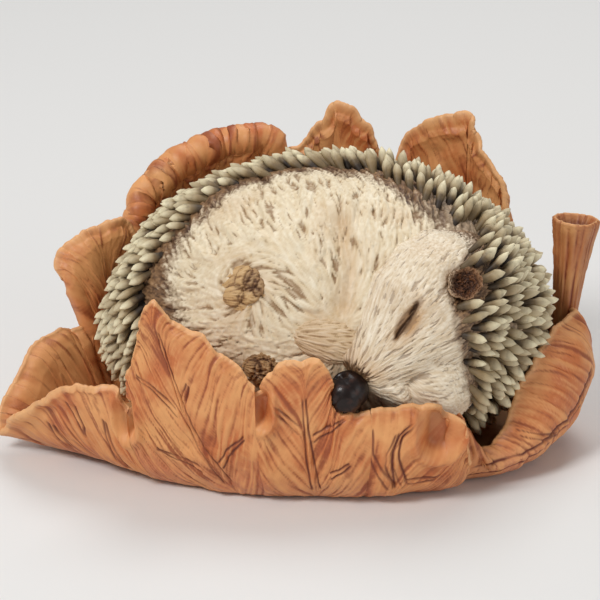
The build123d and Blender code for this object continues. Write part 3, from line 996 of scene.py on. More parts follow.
@dataclass(frozen=True)
class Nest:
    """The leaves, the cut stalk and the bed that the animal lies on."""

    paint: LeafFinish = LeafFinish()
    stalk_paint: LeafFinish = LeafFinish(light=tint(206, 146, 92), body=tint(176, 104, 60))
    stalk: Stalk = Stalk()

    def leaves(self) -> list[Leaf]:
        """The leaves, from the viewer's left round the front and back again.

        Returns:
            One leaf for each packed leaf that stands up.
        """
        return [
            Leaf(
                name="left_leaf", node="leaf_left", foot=(-104, -41), spacing=0.26, seed=11,
                branch=0.35,
                margin=[(-104, 0.98, 19.0), (-102, 1.02, 18.2), (-99, 1.05, 19.6), (-95, 1.10, 18.8),
                        (-90, 1.16, 17.0), (-86, 1.19, 13.6), (-84, 1.21, 11.8), (-82, 1.25, 10.2),
                        (-80, 1.27, 7.4), (-78, 1.29, 3.4), (-73, 1.26, 7.6), (-66, 1.22, 12.8),
                        (-60, 1.16, 18.0), (-56, 1.13, 19.9), (-52, 1.10, 20.0), (-49, 1.07, 21.0),
                        (-46.8, 1.05, 20.4), (-45.4, 1.04, 18.2), (-44, 1.04, 17.0)],
                middle=[(-103, 0.95), (-96, 1.00), (-90, 1.06), (-84, 1.12), (-78, 1.16), (-72, 1.14),
                        (-66, 1.11), (-59, 1.08), (-52, 1.05), (-46, 1.03), (-41, 1.03)],
                veins=[[(-72, 1.0), (-75, 2.0), (-77.5, 3.0)], [(-58, 16.5), (-57, 12), (-57, 7.5)],
                       [(-92, 4), (-93, 14)], [(-66, 4), (-65, 11)], [(-50, 3), (-50, 17)]],
                pockets=[(-44.0, 14.6, 2.4, 3.8, 1.6)],
                bead=[(0.0, 0.4), (0.80, 0.4), (0.92, 0.7), (1.0, 0.6)]),
            Leaf(
                name="front_left_leaf", node="leaf_front_left", foot=(-41, -12), spacing=0.22, seed=21,
                branch=0.95,
                margin=[(-44, 1.04, 17.0), (-43, 1.04, 20.0), (-42.6, 1.05, 24.4), (-40.5, 1.05, 31.7),
                        (-38.5, 1.05, 37.7), (-36.5, 1.04, 41.0), (-35, 1.04, 40.8), (-33, 1.03, 37.8),
                        (-29, 1.02, 35.8), (-24.5, 1.01, 34.6), (-22, 1.00, 31.6), (-21, 1.00, 30.5),
                        (-17.5, 1.00, 29.4), (-16.0, 1.00, 27.6), (-14.6, 1.01, 26.0), (-13, 1.02, 25.2)],
                middle=[(-41, 1.03), (-27, 1.02), (-12, 1.01)],
                veins=[[(-20.9, 3.0), (-23.6, 8.5), (-26.6, 12.8), (-30.1, 22.0), (-32.9, 30.2),
                        (-36.3, 38.6)],
                       [(-30.6, 18.5), (-36.5, 23.2), (-42.0, 26.1)],
                       [(-26.7, 6.7), (-33, 8.6), (-39.1, 10.7)],
                       [(-22.2, 7.9), (-19.0, 12.0), (-14.4, 16.4)], [(-29.1, 22.1), (-27.6, 26.0)]],
                pockets=[(-44.0, 14.6, 2.4, 3.8, 1.6)],
                bead=[(0.0, 0.6), (0.08, 0.5), (0.16, 0.3), (0.6, 0.3), (0.84, 0.4), (0.9, 0.5),
                      (1.0, 0.5)]),
            Leaf(
                name="front_middle_leaf", node="leaf_front_middle", foot=(-12, 12), spacing=0.22,
                seed=31, branch=1.10,
                margin=[(-13, 1.01, 24.2), (-11.6, 1.00, 24.6), (-11.0, 1.00, 26.4), (-10.2, 1.00, 28.0),
                        (-8.8, 1.00, 29.3), (-6, 1.00, 31.2), (-3.2, 1.00, 30.2), (-1, 0.98, 31.6),
                        (0.6, 0.98, 31.2), (2.0, 0.98, 29.2), (2.9, 0.975, 26.6), (3.2, 0.97, 24.0),
                        (3.8, 0.97, 21.4), (5.2, 0.97, 19.8), (8, 0.98, 19.7), (12, 1.00, 20.3)],
                middle=[(-12, 1.01), (0, 0.99), (12, 1.0)],
                veins=[[(0.4, 3.0), (-0.6, 7.3), (-1.7, 14.0), (-3.0, 28.6)],
                       [(-1.1, 15.3), (3.4, 17.6), (8.0, 20.0)],
                       [(-3.0, 16.7), (-7.8, 21.2), (-12.4, 25.4)], [(3.3, 7.2), (8.6, 10.9)]],
                pockets=[(-12.2, 20.6, 2.3, 3.3, 1.8)],
                bead=[(0.0, 0.5), (0.12, 0.4), (0.22, 0.3), (0.5, 0.5), (0.7, 0.3), (1.0, 0.2)]),
            Leaf(
                name="front_right_leaf", node="leaf_front_right", foot=(12, 35), spacing=0.22, seed=41,
                branch=0.5, lean=0.25,
                margin=[(12, 1.00, 20.5), (15, 1.00, 20.6), (18, 1.01, 20.5), (22, 1.04, 21.2),
                        (25, 1.07, 21.0), (28, 1.07, 19.8), (30.5, 1.06, 17.2), (32, 1.05, 13.6),
                        (34, 1.03, 9.4), (36, 1.00, 5.6)],
                middle=[(12, 1.0), (20, 1.03), (27, 1.06), (35, 0.98)],
                veins=[[(19.6, 4.6), (17.5, 8.9), (17.0, 12.7), (18.2, 16.4), (22.6, 20.4)],
                       [(17.5, 4.6), (13.4, 9.2), (10.9, 13.8), (12.4, 19.2)],
                       [(19.1, 5.5), (24, 5.6), (29.2, 6.3)],
                       [(18.6, 4.7), (15.6, 9.9), (15.6, 12.6), (18.0, 18.6)]],
                pockets=[(26.2, 15.2, 3.7, 4.4, 2.4)],
                curls=[(0.0, 0.4, 0), (0.4, 0.6, 15), (0.7, 0.6, 20), (1.0, 0.5, 0)]),
            Leaf(
                name="right_leaf", node="leaf_right", foot=(30, 119), spacing=0.28, seed=51,
                branch=0.45, lean=-0.35,
                margin=[(27, 0.95, 19.0), (33, 0.97, 18.6), (36.5, 0.96, 15.5), (39, 0.95, 11.0),
                        (42, 0.95, 6.6), (47, 0.96, 7.4), (51, 0.97, 11.1), (56, 0.97, 14.9),
                        (63, 0.97, 21.2), (70, 0.975, 23.4), (76, 0.98, 24.6), (85, 1.01, 24.9),
                        (92, 1.06, 25.6), (98, 1.05, 23.2), (106, 1.01, 21.6), (114, 0.99, 23.0),
                        (119, 0.97, 26.0)],
                middle=[(20, 0.93), (28, 0.94), (34, 0.95), (39, 0.97), (44, 1.00), (50, 1.03), (56, 1.05),
                        (63, 1.075), (72, 1.10), (82, 1.11), (92, 1.11), (100, 1.07), (108, 1.05),
                        (118, 1.01), (128, 0.99)],
                veins=[[(38, 3.5), (54.6, 6.2), (69, 11.5), (84, 21)], [(51, 10.5), (56, 8.8), (64, 8.2)],
                       [(100, 4), (101, 20)]],
                curls=[(0.0, 0.5, 0), (0.30, 0.6, 0), (0.45, 1.2, 40), (0.70, 1.2, 45), (0.85, 0.5, 0),
                       (1.0, 0.5, 0)]),
            Leaf(
                name="back_right_leaf", node="leaf_back_right", foot=(119, 160), spacing=0.30, seed=61,
                branch=0.6,
                margin=[(119, 0.97, 26.0), (120, 0.96, 33.0), (122, 0.94, 41.0), (125, 0.94, 47.0),
                        (130, 0.94, 50.0), (134, 0.94, 53.6), (137, 0.93, 56.2), (136.5, 0.94, 58.4),
                        (139, 0.94, 58.2), (145, 0.94, 57.0), (151, 0.94, 55.0), (156, 0.94, 51.6),
                        (157, 0.94, 49.0), (160, 0.94, 45.0)],
                middle=[(119, 1.0), (138, 0.98), (160, 0.98)],
                veins=[[(138, 2), (137.5, 28), (136.5, 56)], [(138, 18), (127, 44)], [(138, 20), (152, 50)],
                       [(137.5, 34), (131, 50)]],
                curls=[(0.0, 0.5, 0), (0.35, 0.8, 20), (0.62, 1.6, 70), (0.85, 1.2, 50), (1.0, 0.5, 0)]),
            Leaf(
                name="back_middle_leaf", node="leaf_back_middle", foot=(160, 188), spacing=0.30,
                seed=71, branch=0.6,
                margin=[(160, 0.94, 45.0), (163, 0.95, 48.0), (165, 0.95, 53.2), (168, 0.95, 55.0),
                        (170, 0.95, 57.4), (172, 0.95, 57.8), (174, 0.95, 58.8), (176, 0.95, 57.2),
                        (177, 0.95, 54.6), (181, 0.95, 52.9), (182.5, 0.95, 50.4), (188, 0.95, 48.5)],
                middle=[(160, 0.98), (188, 0.98)],
                veins=[[(174, 2), (174, 34), (173, 57)], [(174, 22), (167, 47)], [(174, 25), (181, 49)]],
                curls=[(0.0, 0.5, 0), (0.3, 0.9, 40), (0.6, 1.0, 60), (1.0, 0.5, 0)]),
            Leaf(
                name="back_left_leaf", node="leaf_back_left", foot=(188, 238), spacing=0.34, seed=81,
                branch=0.3, thickness=2.6, crinkle=0.26,
                margin=[(188, 0.95, 46.5), (190, 0.93, 49.4), (193, 0.92, 51.2), (197, 0.91, 51.6),
                        (207, 0.91, 50.8), (215, 0.91, 48.8), (222, 0.91, 46.6), (229, 0.91, 43.4),
                        (232, 0.91, 40.0), (235, 0.92, 36.0), (238, 0.93, 31.0)],
                middle=[(188, 0.98), (238, 0.96)],
                veins=[[(214, 2), (213, 25), (212, 47)], [(214, 15), (226, 40)], [(214, 13), (199, 42)]],
                curls=[(0.0, 1.0, 60), (0.08, 5.0, 190), (0.5, 5.6, 205), (0.85, 4.4, 190),
                       (1.0, 1.0, 60)]),
            Leaf(
                name="fan_leaf", node="leaf_fan", foot=(-104, -123), spacing=0.26, seed=91, branch=0.5,
                margin=[(-104, 0.98, 19.0), (-105, 0.975, 21.6), (-106.2, 0.97, 24.4), (-106.6, 0.99, 26.4),
                        (-105, 1.03, 28.2), (-103, 1.07, 30.4), (-104, 1.09, 32.0), (-106, 1.08, 34.3),
                        (-108, 1.03, 36.7), (-111, 0.98, 38.0), (-113, 0.96, 37.4), (-115, 0.95, 38.6),
                        (-118, 0.92, 39.4), (-122, 0.90, 38.6), (-124, 0.89, 34.0)],
                middle=[(-123, 0.93), (-104, 0.95)],
                veins=[[(-112, 3), (-112.5, 22), (-112, 36)], [(-112, 19), (-106, 31)],
                       [(-112, 19), (-118, 36)]],
                curls=[(0.0, 0.4, 0), (0.35, 0.8, 30), (0.7, 1.0, 50), (1.0, 0.5, 0)]),
        ]

    def build(self, bed: bpy.types.Object) -> None:
        """Models the leaves and the stalk, and paints the bed.

        Args:
            bed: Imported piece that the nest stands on.
        """
        material = self.paint.material("leaf_paint")
        for leaf in self.leaves():
            dress(leaf.build(), material, (leaf.node,))
        dress(self.stalk.build(), self.stalk_paint.material("stalk_paint"), ("leaf_stalk",))
        bed.data.materials.clear()
        bed.data.materials.append(self.paint.material("bed_paint"))


@dataclass(frozen=True)
class BodyFrame:
    """Leaning frame of the curled animal: along its length, up its height, out of its belly.

    Fur meets quills at the edge, which has a height out of the frame's middle and slopes along and up.
    Its bumps have a place, a size and a height each.
    """

    centre: Triple = (3.0, -2.0, 28.3)
    half_sizes: Triple = (41.0, 28.5, 27.0)
    lean: float = 30.0
    turn: float = 8.0
    edge: Triple = (16.8, 0.03, -0.16)
    edge_bumps: tuple[tuple[Pair, float, float], ...] = (
        ((-27, 12), 12, 1.8), ((0, 27), 9, -2.2), ((28, 5), 9, 2.0))

    def axes(self) -> np.ndarray:
        """The three directions, one row each.

        Returns:
            The directions.
        """
        lean, turn = math.radians(self.lean), math.radians(self.turn)
        along = np.array([math.cos(turn), -math.sin(turn), 0.0])
        out = np.array([-math.sin(turn) * math.cos(lean), -math.cos(turn) * math.cos(lean), math.sin(lean)])
        return np.array([along, np.cross(out, along), out])

    def world(self, local: np.ndarray) -> np.ndarray:
        """Places of the body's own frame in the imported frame, in millimetres."""
        return np.asarray(local, float) @ self.axes() + np.array(self.centre)

    def on_skin(self, along: float, up: float) -> np.ndarray:
        """Place on the belly's skin, in the body's own frame."""
        a, b, c = self.half_sizes
        return np.array([along, up, c * math.sqrt(max(0.0, 1 - (along / a) ** 2 - (up / b) ** 2))])

    def belly_edge(self, local: np.ndarray) -> np.ndarray:
        """How far places stand in front of the line where fur meets quills.

        Args:
            local: Places in the body's own frame.

        Returns:
            One distance for each place, below 0 behind the line.
        """
        height, along, up = self.edge
        line = height + along * local[:, 0] + up * local[:, 1]
        for place, size, rise in self.edge_bumps:
            line = line + rise * bump_at(local[:, :2], place, size)
        return local[:, 2] - line


@dataclass(frozen=True)
class Coat:
    """How the hair is carved: locks that rise towards their tips and overlap like shingles."""

    length: float
    half_width: float
    height: float
    pitch: float
    stray: float
    seed: int

    def carve(self, points: np.ndarray, normals: np.ndarray, flow: Flow,
              roots: np.ndarray) -> tuple[np.ndarray, np.ndarray, np.ndarray]:
        """Carves the locks.

        Args:
            points: Places of the surface.
            normals: Its unit normals.
            flow: Direction of the hair.
            roots: Indices of the places where locks start.

        Returns:
            The relief in millimetres, the tone of each place's lock, and how deep in a gap it lies, which
            sets its painted shade.
        """
        tree = KDTree(len(points))
        for i, point in enumerate(points):
            tree.insert(point, i)
        tree.balance()
        chance = np.random.default_rng(self.seed)
        relief = np.zeros(len(points))
        tone = np.full(len(points), 0.5)
        groove = np.full(len(points), 0.8)
        for root, head in zip(roots, flow(points[roots])):
            size = chance.uniform(0.75, 1.25)
            length = self.length * size
            normal = normals[root]
            turn = chance.normal(0, self.stray)
            head = unit(head - normal * (head @ normal))
            side = np.cross(normal, head)
            cos, sin = math.cos(turn), math.sin(turn)
            head, side = head * cos + side * sin, side * cos - head * sin
            found = tree.find_range(Vector(points[root] + head * length / 2), length / 2 + 0.2)
            if not found:
                continue
            index = np.array([item[1] for item in found])
            offset = points[index] - points[root]
            along = offset @ head / length
            bow = chance.normal(0, 0.10) * length
            across = offset @ side - bow * along * along
            inside = (along > 0) & (along < 1)
            along = np.clip(along, 1e-3, 1 - 1e-3)
            width = self.half_width * chance.uniform(0.8, 1.2) * np.minimum(1, (along / 0.3) ** 0.6)
            width = width * (1 - along) ** 0.6 * 1.35
            round_top = np.sqrt(np.clip(1 - (across / width) ** 2, 0, 1))
            value = self.height * (0.46 + 0.54 * along) * round_top * inside * size
            better = value > relief[index]
            relief[index[better]] = value[better]
            tone[index[better]] = chance.uniform(0.0, 1.0)
            side_gap = np.clip(np.abs(across[better] / width[better]), 0, 1) ** 3
            # Groove mask of painted shade: at the lock's sides and at its root, under the next lock's tip
            groove[index[better]] = np.clip(0.85 * side_gap + 0.6 * (1 - along[better]) ** 4, 0, 1)
        return relief, tone, groove


def spread_roots(places: np.ndarray, pitch: float, seed: int) -> np.ndarray:
    """Indices of a grid's places picked by chance, evenly over its surface.

    Args:
        places: Rows, columns and the three coordinates.
        pitch: Mean distance between picked places.
        seed: Number that picks them.

    Returns:
        The indices, in a mixed order.
    """
    patches = np.cross(np.gradient(places, axis=0), np.gradient(places, axis=1))
    area = np.linalg.norm(patches, axis=-1).ravel()
    chance = np.random.default_rng(seed)
    return chance.permutation(np.flatnonzero(chance.uniform(0, 1, len(area)) < area / pitch ** 2))


def dome(columns: int, rows: int, spread: float) -> np.ndarray:
    """Unit directions of a round cap, evenly gridded.

    Args:
        columns: Places across.
        rows: Places up.
        spread: Angle from its middle to its border, in radians.

    Returns:
        The directions, with the cap's middle at +Z.
    """
    x, y = np.meshgrid(np.linspace(-1, 1, columns), np.linspace(-1, 1, rows))
    across, up = x * np.sqrt(1 - y * y / 2), y * np.sqrt(1 - x * x / 2)
    reach = np.hypot(across, up)
    share = np.where(reach > 1e-9, np.sin(reach * spread) / np.maximum(reach, 1e-9), spread)
    return np.stack([across * share, up * share, np.cos(reach * spread)], axis=-1)


@dataclass(frozen=True)
class Mound:
    """Small raised form on the belly, such as a foot or paw.

    Each bump is a place along and up as shares of the form, a size, a height, a stretch and a turn. The
    coat is the height of its hair, shade how tan and brown how dark it is. The spread is the angle
    from its top to its border.
    """

    name: str
    place: Pair
    half_sizes: Triple
    turn: float
    coat: float
    shade: float
    brown: float
    seed: int
    bumps: tuple[tuple[float, ...], ...] = ()
    grid: int = 150
    spread: float = 112.0

    def build(self, frame: BodyFrame) -> bpy.types.Object:
        """Models the form.

        Args:
            frame: Frame of the body that it lies on.

        Returns:
            The piece.
        """
        count = round(self.grid * detail_scale())
        ball = dome(count, count, math.radians(self.spread))
        half = np.array(self.half_sizes)
        place = frame.on_skin(*self.place)
        out = unit(place / np.array(frame.half_sizes) ** 2)
        ahead = np.array([*heading(self.turn), 0.0])
        along = unit(ahead - out * (out @ ahead))
        axes = np.array([along, np.cross(out, along), out])
        shares = ball[..., :2].reshape(-1, 2)
        raised = np.zeros(len(shares))
        valley = np.zeros(len(shares))
        dark = np.full(len(shares), self.brown)
        for x, y, size, height, stretch, turn in self.bumps:
            offset = shares - np.array([x, y])
            run, aside = offset @ heading(turn) / stretch, offset @ heading(turn + 90)
            gap = np.hypot(run, aside) / size
            raised += height * np.clip(1 - gap ** 2, 0, 1) ** 0.5
            valley = np.maximum(valley, np.exp(-(((gap - 1) / 0.16) ** 2)))
            dark = np.where((gap < 1) & (height < 0.9), np.clip(dark + 0.5, 0, 1), dark)
        skin = (place + (ball * half) @ axes).reshape(-1, 3)
        normals = unit((ball / half) @ axes).reshape(-1, 3)
        origin = place - along * half[0] * 1.7
        hair = combed_noise(skin, lambda p: unit(p - origin), 2.0, 0.26, self.seed)
        places = skin + normals * (raised - 0.25 * valley + self.coat * hair)[:, None]
        # The valley round each bump gets the gap and dark colours: painted shade in the crease
        paint = np.stack([0.5 + 0.2 * hair, 0.22 - 0.30 * hair + 0.45 * valley,
                          np.full(len(skin), self.shade), dark + 0.5 * valley * self.shade], axis=-1)
        return grid_piece(self.name, frame.world(places).reshape(ball.shape),
                          paint.reshape(count, count, 4), fill=True)


@dataclass(frozen=True)
class EyeMarks:
    """Distance from the closed eye's slit, and how strong each of its marks is at each place."""

    gap: np.ndarray
    socket: np.ndarray
    lid: np.ndarray
    hollow: np.ndarray
    glow: np.ndarray


@dataclass(frozen=True)
class Hedgehog:
    """The sleeping animal: belly, head, nose, ear, feet and quills.

    A tuft is a place along and up the body and the angle of its lie. Profiles of the head and the ear
    are shares or radii along their own axes. Grids are counts at full detail, and a spread is the angle
    from the middle of a round cap to its border.
    """

    frame: BodyFrame = BodyFrame()
    fur: FurFinish = FurFinish()
    head_fur: FurFinish = FurFinish(light=tint(243, 229, 206), body=tint(220, 199, 168),
                                    gap=tint(128, 96, 70))
    foot_skin: FurFinish = FurFinish(light=tint(228, 198, 154), body=tint(206, 168, 118),
                                     gap=tint(124, 84, 48), shade=tint(196, 154, 98),
                                     dark=tint(88, 54, 30))
    ear_fur: FurFinish = FurFinish(light=tint(226, 206, 178), body=tint(192, 156, 118),
                                   gap=tint(112, 74, 46), shade=tint(150, 102, 62),
                                   dark=tint(62, 34, 18), tuft=tint(112, 70, 40))
    lacquer: NoseFinish = NoseFinish()
    belly_coat: Coat = Coat(length=6.4, half_width=0.58, height=0.80, pitch=1.40, stray=0.12, seed=3)
    head_coat: Coat = Coat(length=3.8, half_width=0.32, height=0.34, pitch=0.82, stray=0.12, seed=5)
    tufts: tuple[Triple, ...] = (
        (-4.1, 21.4, -80), (4.9, 20.8, -85), (-13.1, 19.1, -62), (-20.9, 14.0, -45), (-7.0, 13.4, -58),
        (-27.1, 7.4, -22), (-16.0, 11.4, -30), (-29.9, 0.0, -5), (-27.9, -8.0, 5), (-25.0, -15.1, 10),
        (-4.1, 6.0, -35), (-6.2, -1.7, -20), (-1.6, 13.4, -70))
    belly_grid: tuple[int, int] = (340, 270)
    belly_spread: float = 73.0
    crease: tuple[Triple, ...] = ((4.2, 13, 0), (5.6, 8, 0), (6.6, 3, 0), (6.0, -3, 0))
    foot: Mound = Mound(
        name="curled_foot", place=(-13.4, -0.8), half_sizes=(5.0, 4.7, 2.0), turn=10, coat=0.06, shade=0.65,
        brown=0.08, seed=61,
        bumps=((-0.42, -0.28, 0.42, 1.0, 1.15, 20), (0.10, 0.42, 0.30, 0.9, 1.7, 60),
               (0.42, 0.22, 0.26, 0.8, 1.9, 65), (0.66, -0.10, 0.22, 0.7, 1.8, 75),
               (0.28, -0.42, 0.30, 0.9, 1.5, 20)))
    lower_foot: Mound = Mound(
        name="lower_foot", place=(-9.6, -15.2), half_sizes=(3.6, 3.4, 2.6), turn=0, coat=0.16, shade=1.0,
        brown=0.55, seed=62,
        bumps=((-0.3, 0.1, 0.45, 0.9, 1.2, 60), (0.3, 0.2, 0.4, 1.0, 1.3, 100),
               (0.1, -0.4, 0.35, 0.9, 1.1, 0)))
    paw: Mound = Mound(
        name="front_paw", place=(3.6, -10.0), half_sizes=(7.2, 4.4, 1.9), turn=-8, coat=0.06, shade=0.55,
        brown=0.0, seed=63)
    nose_root: Triple = (8.9, -16.9, 23.1)
    nose_radius: float = 3.75
    nose_grid: int = 150
    nose_spread: float = 158.0
    nostrils: tuple[Triple, ...] = ((-0.12, 0.66, 0.72), (0.75, -0.55, -0.25))
    head_axis: Triple = (-0.571, -0.770, 0.284)
    head_length: float = 38.0
    head_radius: float = 13.0
    head_grid: tuple[int, int] = (300, 320)
    head_profile: tuple[Pair, ...] = (
        (0.0, 0.0), (0.03, 0.28), (0.06, 0.42), (0.21, 0.82), (0.40, 1.0), (0.59, 0.965), (0.75, 0.74),
        (0.88, 0.50), (0.97, 0.36), (1.0, 0.0))
    cheek_place: Triple = (21.7, -14.2, 13.5)
    cheek_radius: float = 9.5
    jaws: tuple[tuple[Triple, float], ...] = (((15.8, -16.8, 13.4), 8.0), ((13.0, -18.8, 17.4), 7.2))
    eye_ends: tuple[Pair, Pair] = ((20.0, -2.6), (16.2, -9.6))
    eye_middle: Pair = (18.3, -6.6)
    socket: Pair = (17.6, -6.6)
    ear_place: Triple = (28.5, 1.9, 28.2)
    ear_grid: tuple[int, int] = (140, 120)
    ear_profile: tuple[Pair, ...] = (
        (0.0, -3.2), (1.7, -2.9), (2.6, -1.6), (2.95, 0.0), (2.9, 0.5), (2.3, -0.5), (1.5, -1.7),
        (0.7, -2.2), (0.0, -2.3))

    def belly_flow(self, places: np.ndarray) -> np.ndarray:
        """Lie of the belly's hair: inwards from the edge, swept round the curled foot.

        Args:
            places: Places in the body's own frame.

        Returns:
            One unit direction for each place.
        """
        plan = places[:, :2]
        inward = unit(np.array([6.0, -7.0]) - plan)
        top = smooth_step(-4, 14, plan[:, 1])[:, None]
        hanging = np.array([0.25, -1.0])
        head = unit(inward * (1 - 0.55 * top) + hanging * 0.55 * top)
        offset = plan - np.array(self.foot.place)
        gap = np.linalg.norm(offset, axis=1, keepdims=True)
        swirl = np.stack([offset[:, 1], -offset[:, 0]], axis=1) / (gap + 1e-6)
        share = np.exp(-((gap / 8.5) ** 2))
        head = unit(head * (1 - share) + swirl * share + unit(offset) * share * 0.7)
        return np.concatenate([head, np.zeros((len(places), 1))], axis=1)

    def head_flow(self, places: np.ndarray) -> np.ndarray:
        """Lie of the head's hair: away from the nose."""
        offset = places[:, :2] - np.array([self.nose_root[0] - 1.5, self.nose_root[1] - 2.5])
        return np.concatenate([unit(offset), np.zeros((len(places), 1))], axis=1)

    def head_line(self) -> tuple[np.ndarray, np.ndarray]:
        """The nape, and the direction from it to the nose."""
        axis = unit(np.array(self.head_axis))
        return np.array(self.nose_root) - axis * self.head_length, axis

    def belly(self) -> bpy.types.Object:
        """The furred belly.

        Returns:
            The piece.
        """
        columns, rows = scaled(self.belly_grid)
        ball = dome(columns, rows, math.radians(self.belly_spread))
        half = np.array(self.frame.half_sizes)
        skin = (ball * half).reshape(-1, 3)
        normals = unit(ball / half).reshape(-1, 3)
        crease = np.exp(-((path_gap(skin * [1, 1, 0], np.array(self.crease)) / 2.2) ** 2))
        thigh = bump_at(skin[:, :2], (-12, 0), 13)
        swell = 0.5 * lattice_noise(skin, 9.0, 4) + thigh - 1.6 * crease
        for along, up, turn in self.tufts:
            offset = skin[:, :2] - np.array([along, up])
            run, aside = offset @ heading(turn) / 9.0, offset @ heading(turn + 90)
            ridge = np.sqrt(np.clip(1 - (aside / (1.9 * np.clip(1.2 - run, 0.1, 1))) ** 2, 0, 1))
            ridge *= smooth_step(0, 0.6, run) * (1 - smooth_step(0.75, 1.0, run))
            swell += 0.75 * ridge * (skin[:, 2] > 8)
        skin = skin + normals * swell[:, None]
        roots = spread_roots(skin.reshape(rows, columns, 3), self.belly_coat.pitch, 8)
        relief, tone, gap = self.belly_coat.carve(skin, normals, self.belly_flow, roots)
        fine = combed_noise(skin, self.belly_flow, 2.2, 0.30, 12)
        places = skin + normals * (relief + 0.035 * fine)[:, None]
        ragged = 0.35 * fine + 1.8 * (tone - 0.5) + 0.8 * lattice_noise(skin, 2.4, 9)
        brown = 1 - smooth_step(0.8, 4.4, self.frame.belly_edge(skin) + ragged)
        brown *= 0.4 + 0.6 * smooth_step(-18, -9, skin[:, 1])
        brown *= 1 - 0.3 * smooth_step(14, 24, skin[:, 0])
        # Tan region mask; its crease term is painted shade in the fold between belly and head
        shade = (0.45 * crease + 0.6 * bump_at(skin[:, :2], (4.5, -9.5), 5.5)
                 + 0.30 * np.clip(lattice_noise(skin, 5.0, 21), 0, 1)
                 + 0.4 * bump_at(skin[:, :2], self.foot.place, 6)
                 + 0.35 * (1 - smooth_step(-24, -14, skin[:, 1])))
        paint = np.stack([0.38 + 0.30 * tone + 0.13 * fine, gap - 0.12 * fine, shade, brown], axis=-1)
        return grid_piece("belly_fur", self.frame.world(places).reshape(rows, columns, 3),
                          paint.reshape(rows, columns, 4), fill=True)

    def head_radii(self, along: np.ndarray) -> np.ndarray:
        """Radius of the skull at shares of its axis, with the profile's corners smoothed.

        Args:
            along: Shares of the axis, from the nape.

        Returns:
            One radius for each share.
        """
        radius = np.interp(along, *np.array(self.head_profile).T) * self.head_radius
        for _ in range(3):
            blend = np.convolve(np.pad(radius, 2, mode="edge"), np.ones(5) / 5, mode="valid")
            radius = np.where((along > 0.03) & (along < 0.95), blend, radius)
        return radius

    def bare_head(self, rows: int, columns: int) -> tuple[np.ndarray, np.ndarray]:
        """Skin of the skull with the cheek and the jaws merged in.

        Args:
            rows: Places from the nape to the nose.
            columns: Places round the axis, close together on the side that shows.

        Returns:
            The places and their unit normals, one row each.
        """
        nape, axis = self.head_line()
        out = np.array([0, 0, 1.0])
        out = unit(out - axis * (out @ axis))
        side = np.cross(axis, out)
        share = np.linspace(0, 1, columns)
        angle = np.radians(np.interp(share, [0, 0.07, 0.93, 1], [-180, -112, 112, 180]))
        along = np.linspace(0, 1, rows)
        ring = np.cos(angle)[:, None] * out + np.sin(angle)[:, None] * side
        radius = self.head_radii(along)[:, None] + 0 * angle
        spine = nape + axis * (along * self.head_length)[:, None]
        cap = np.clip((1 - along) / 0.07, 0, 1)[:, None] * np.clip(along / 0.05, 0, 1)[:, None]
        for place, size in ((self.cheek_place, self.cheek_radius), *self.jaws):
            offset = spine[:, None, :] - np.array(place)
            half_b = (offset * ring[None]).sum(-1)
            root = half_b ** 2 - ((offset ** 2).sum(-1) - size ** 2)
            reach = np.where(root > 0, -half_b + np.sqrt(np.maximum(root, 0)), 0)
            merged = np.log(np.exp(radius * 1.2) + np.exp(reach * 1.2 * cap)) / 1.2
            radius = np.where(radius > 0.5, merged, radius)
        skin = spine[:, None, :] + radius[:, :, None] * ring[None]
        normals = unit(np.cross(np.gradient(skin, axis=1), np.gradient(skin, axis=0)))
        if (normals[rows // 2] * ring).sum() < 0:
            normals = -normals
        return skin.reshape(-1, 3), normals.reshape(-1, 3)

    def closed_eye(self, skin: np.ndarray) -> EyeMarks:
        """Marks of the closed eye on the side of the head that shows.

        Args:
            skin: Places of the bare head.

        Returns:
            The marks.
        """
        front = skin[:, 2] > 12
        outer_end, inner_end = np.array(self.eye_ends)
        slit = np.array([(*outer_end, 0), (*self.eye_middle, 0), (*inner_end, 0)])
        gap = path_gap(skin * [1, 1, 0], slit) + 99 * ~front
        run = inner_end - outer_end
        offset = skin[:, :2] - outer_end
        along = offset @ run / (run @ run)
        aside = offset @ unit(np.array([run[1], -run[0]]))
        arch = np.sin(np.pi * np.clip(along, 0, 1))
        width = 2.3 * arch ** 0.7 * (0.65 + 0.5 * along)
        hollow = smooth_step(-0.5, 0.1, aside) * (1 - smooth_step(0.35, 1.0, aside / (width + 0.01)))
        hollow *= smooth_step(0.1, 0.8, width) * front
        return EyeMarks(
            gap=gap, socket=bump_at(skin[:, :2], self.socket, 4.6) * front,
            lid=np.exp(-(((gap - 1.5) / 0.9) ** 2)), hollow=hollow,
            glow=np.exp(-((aside + 1.5) / 1.1) ** 2) * arch * front)

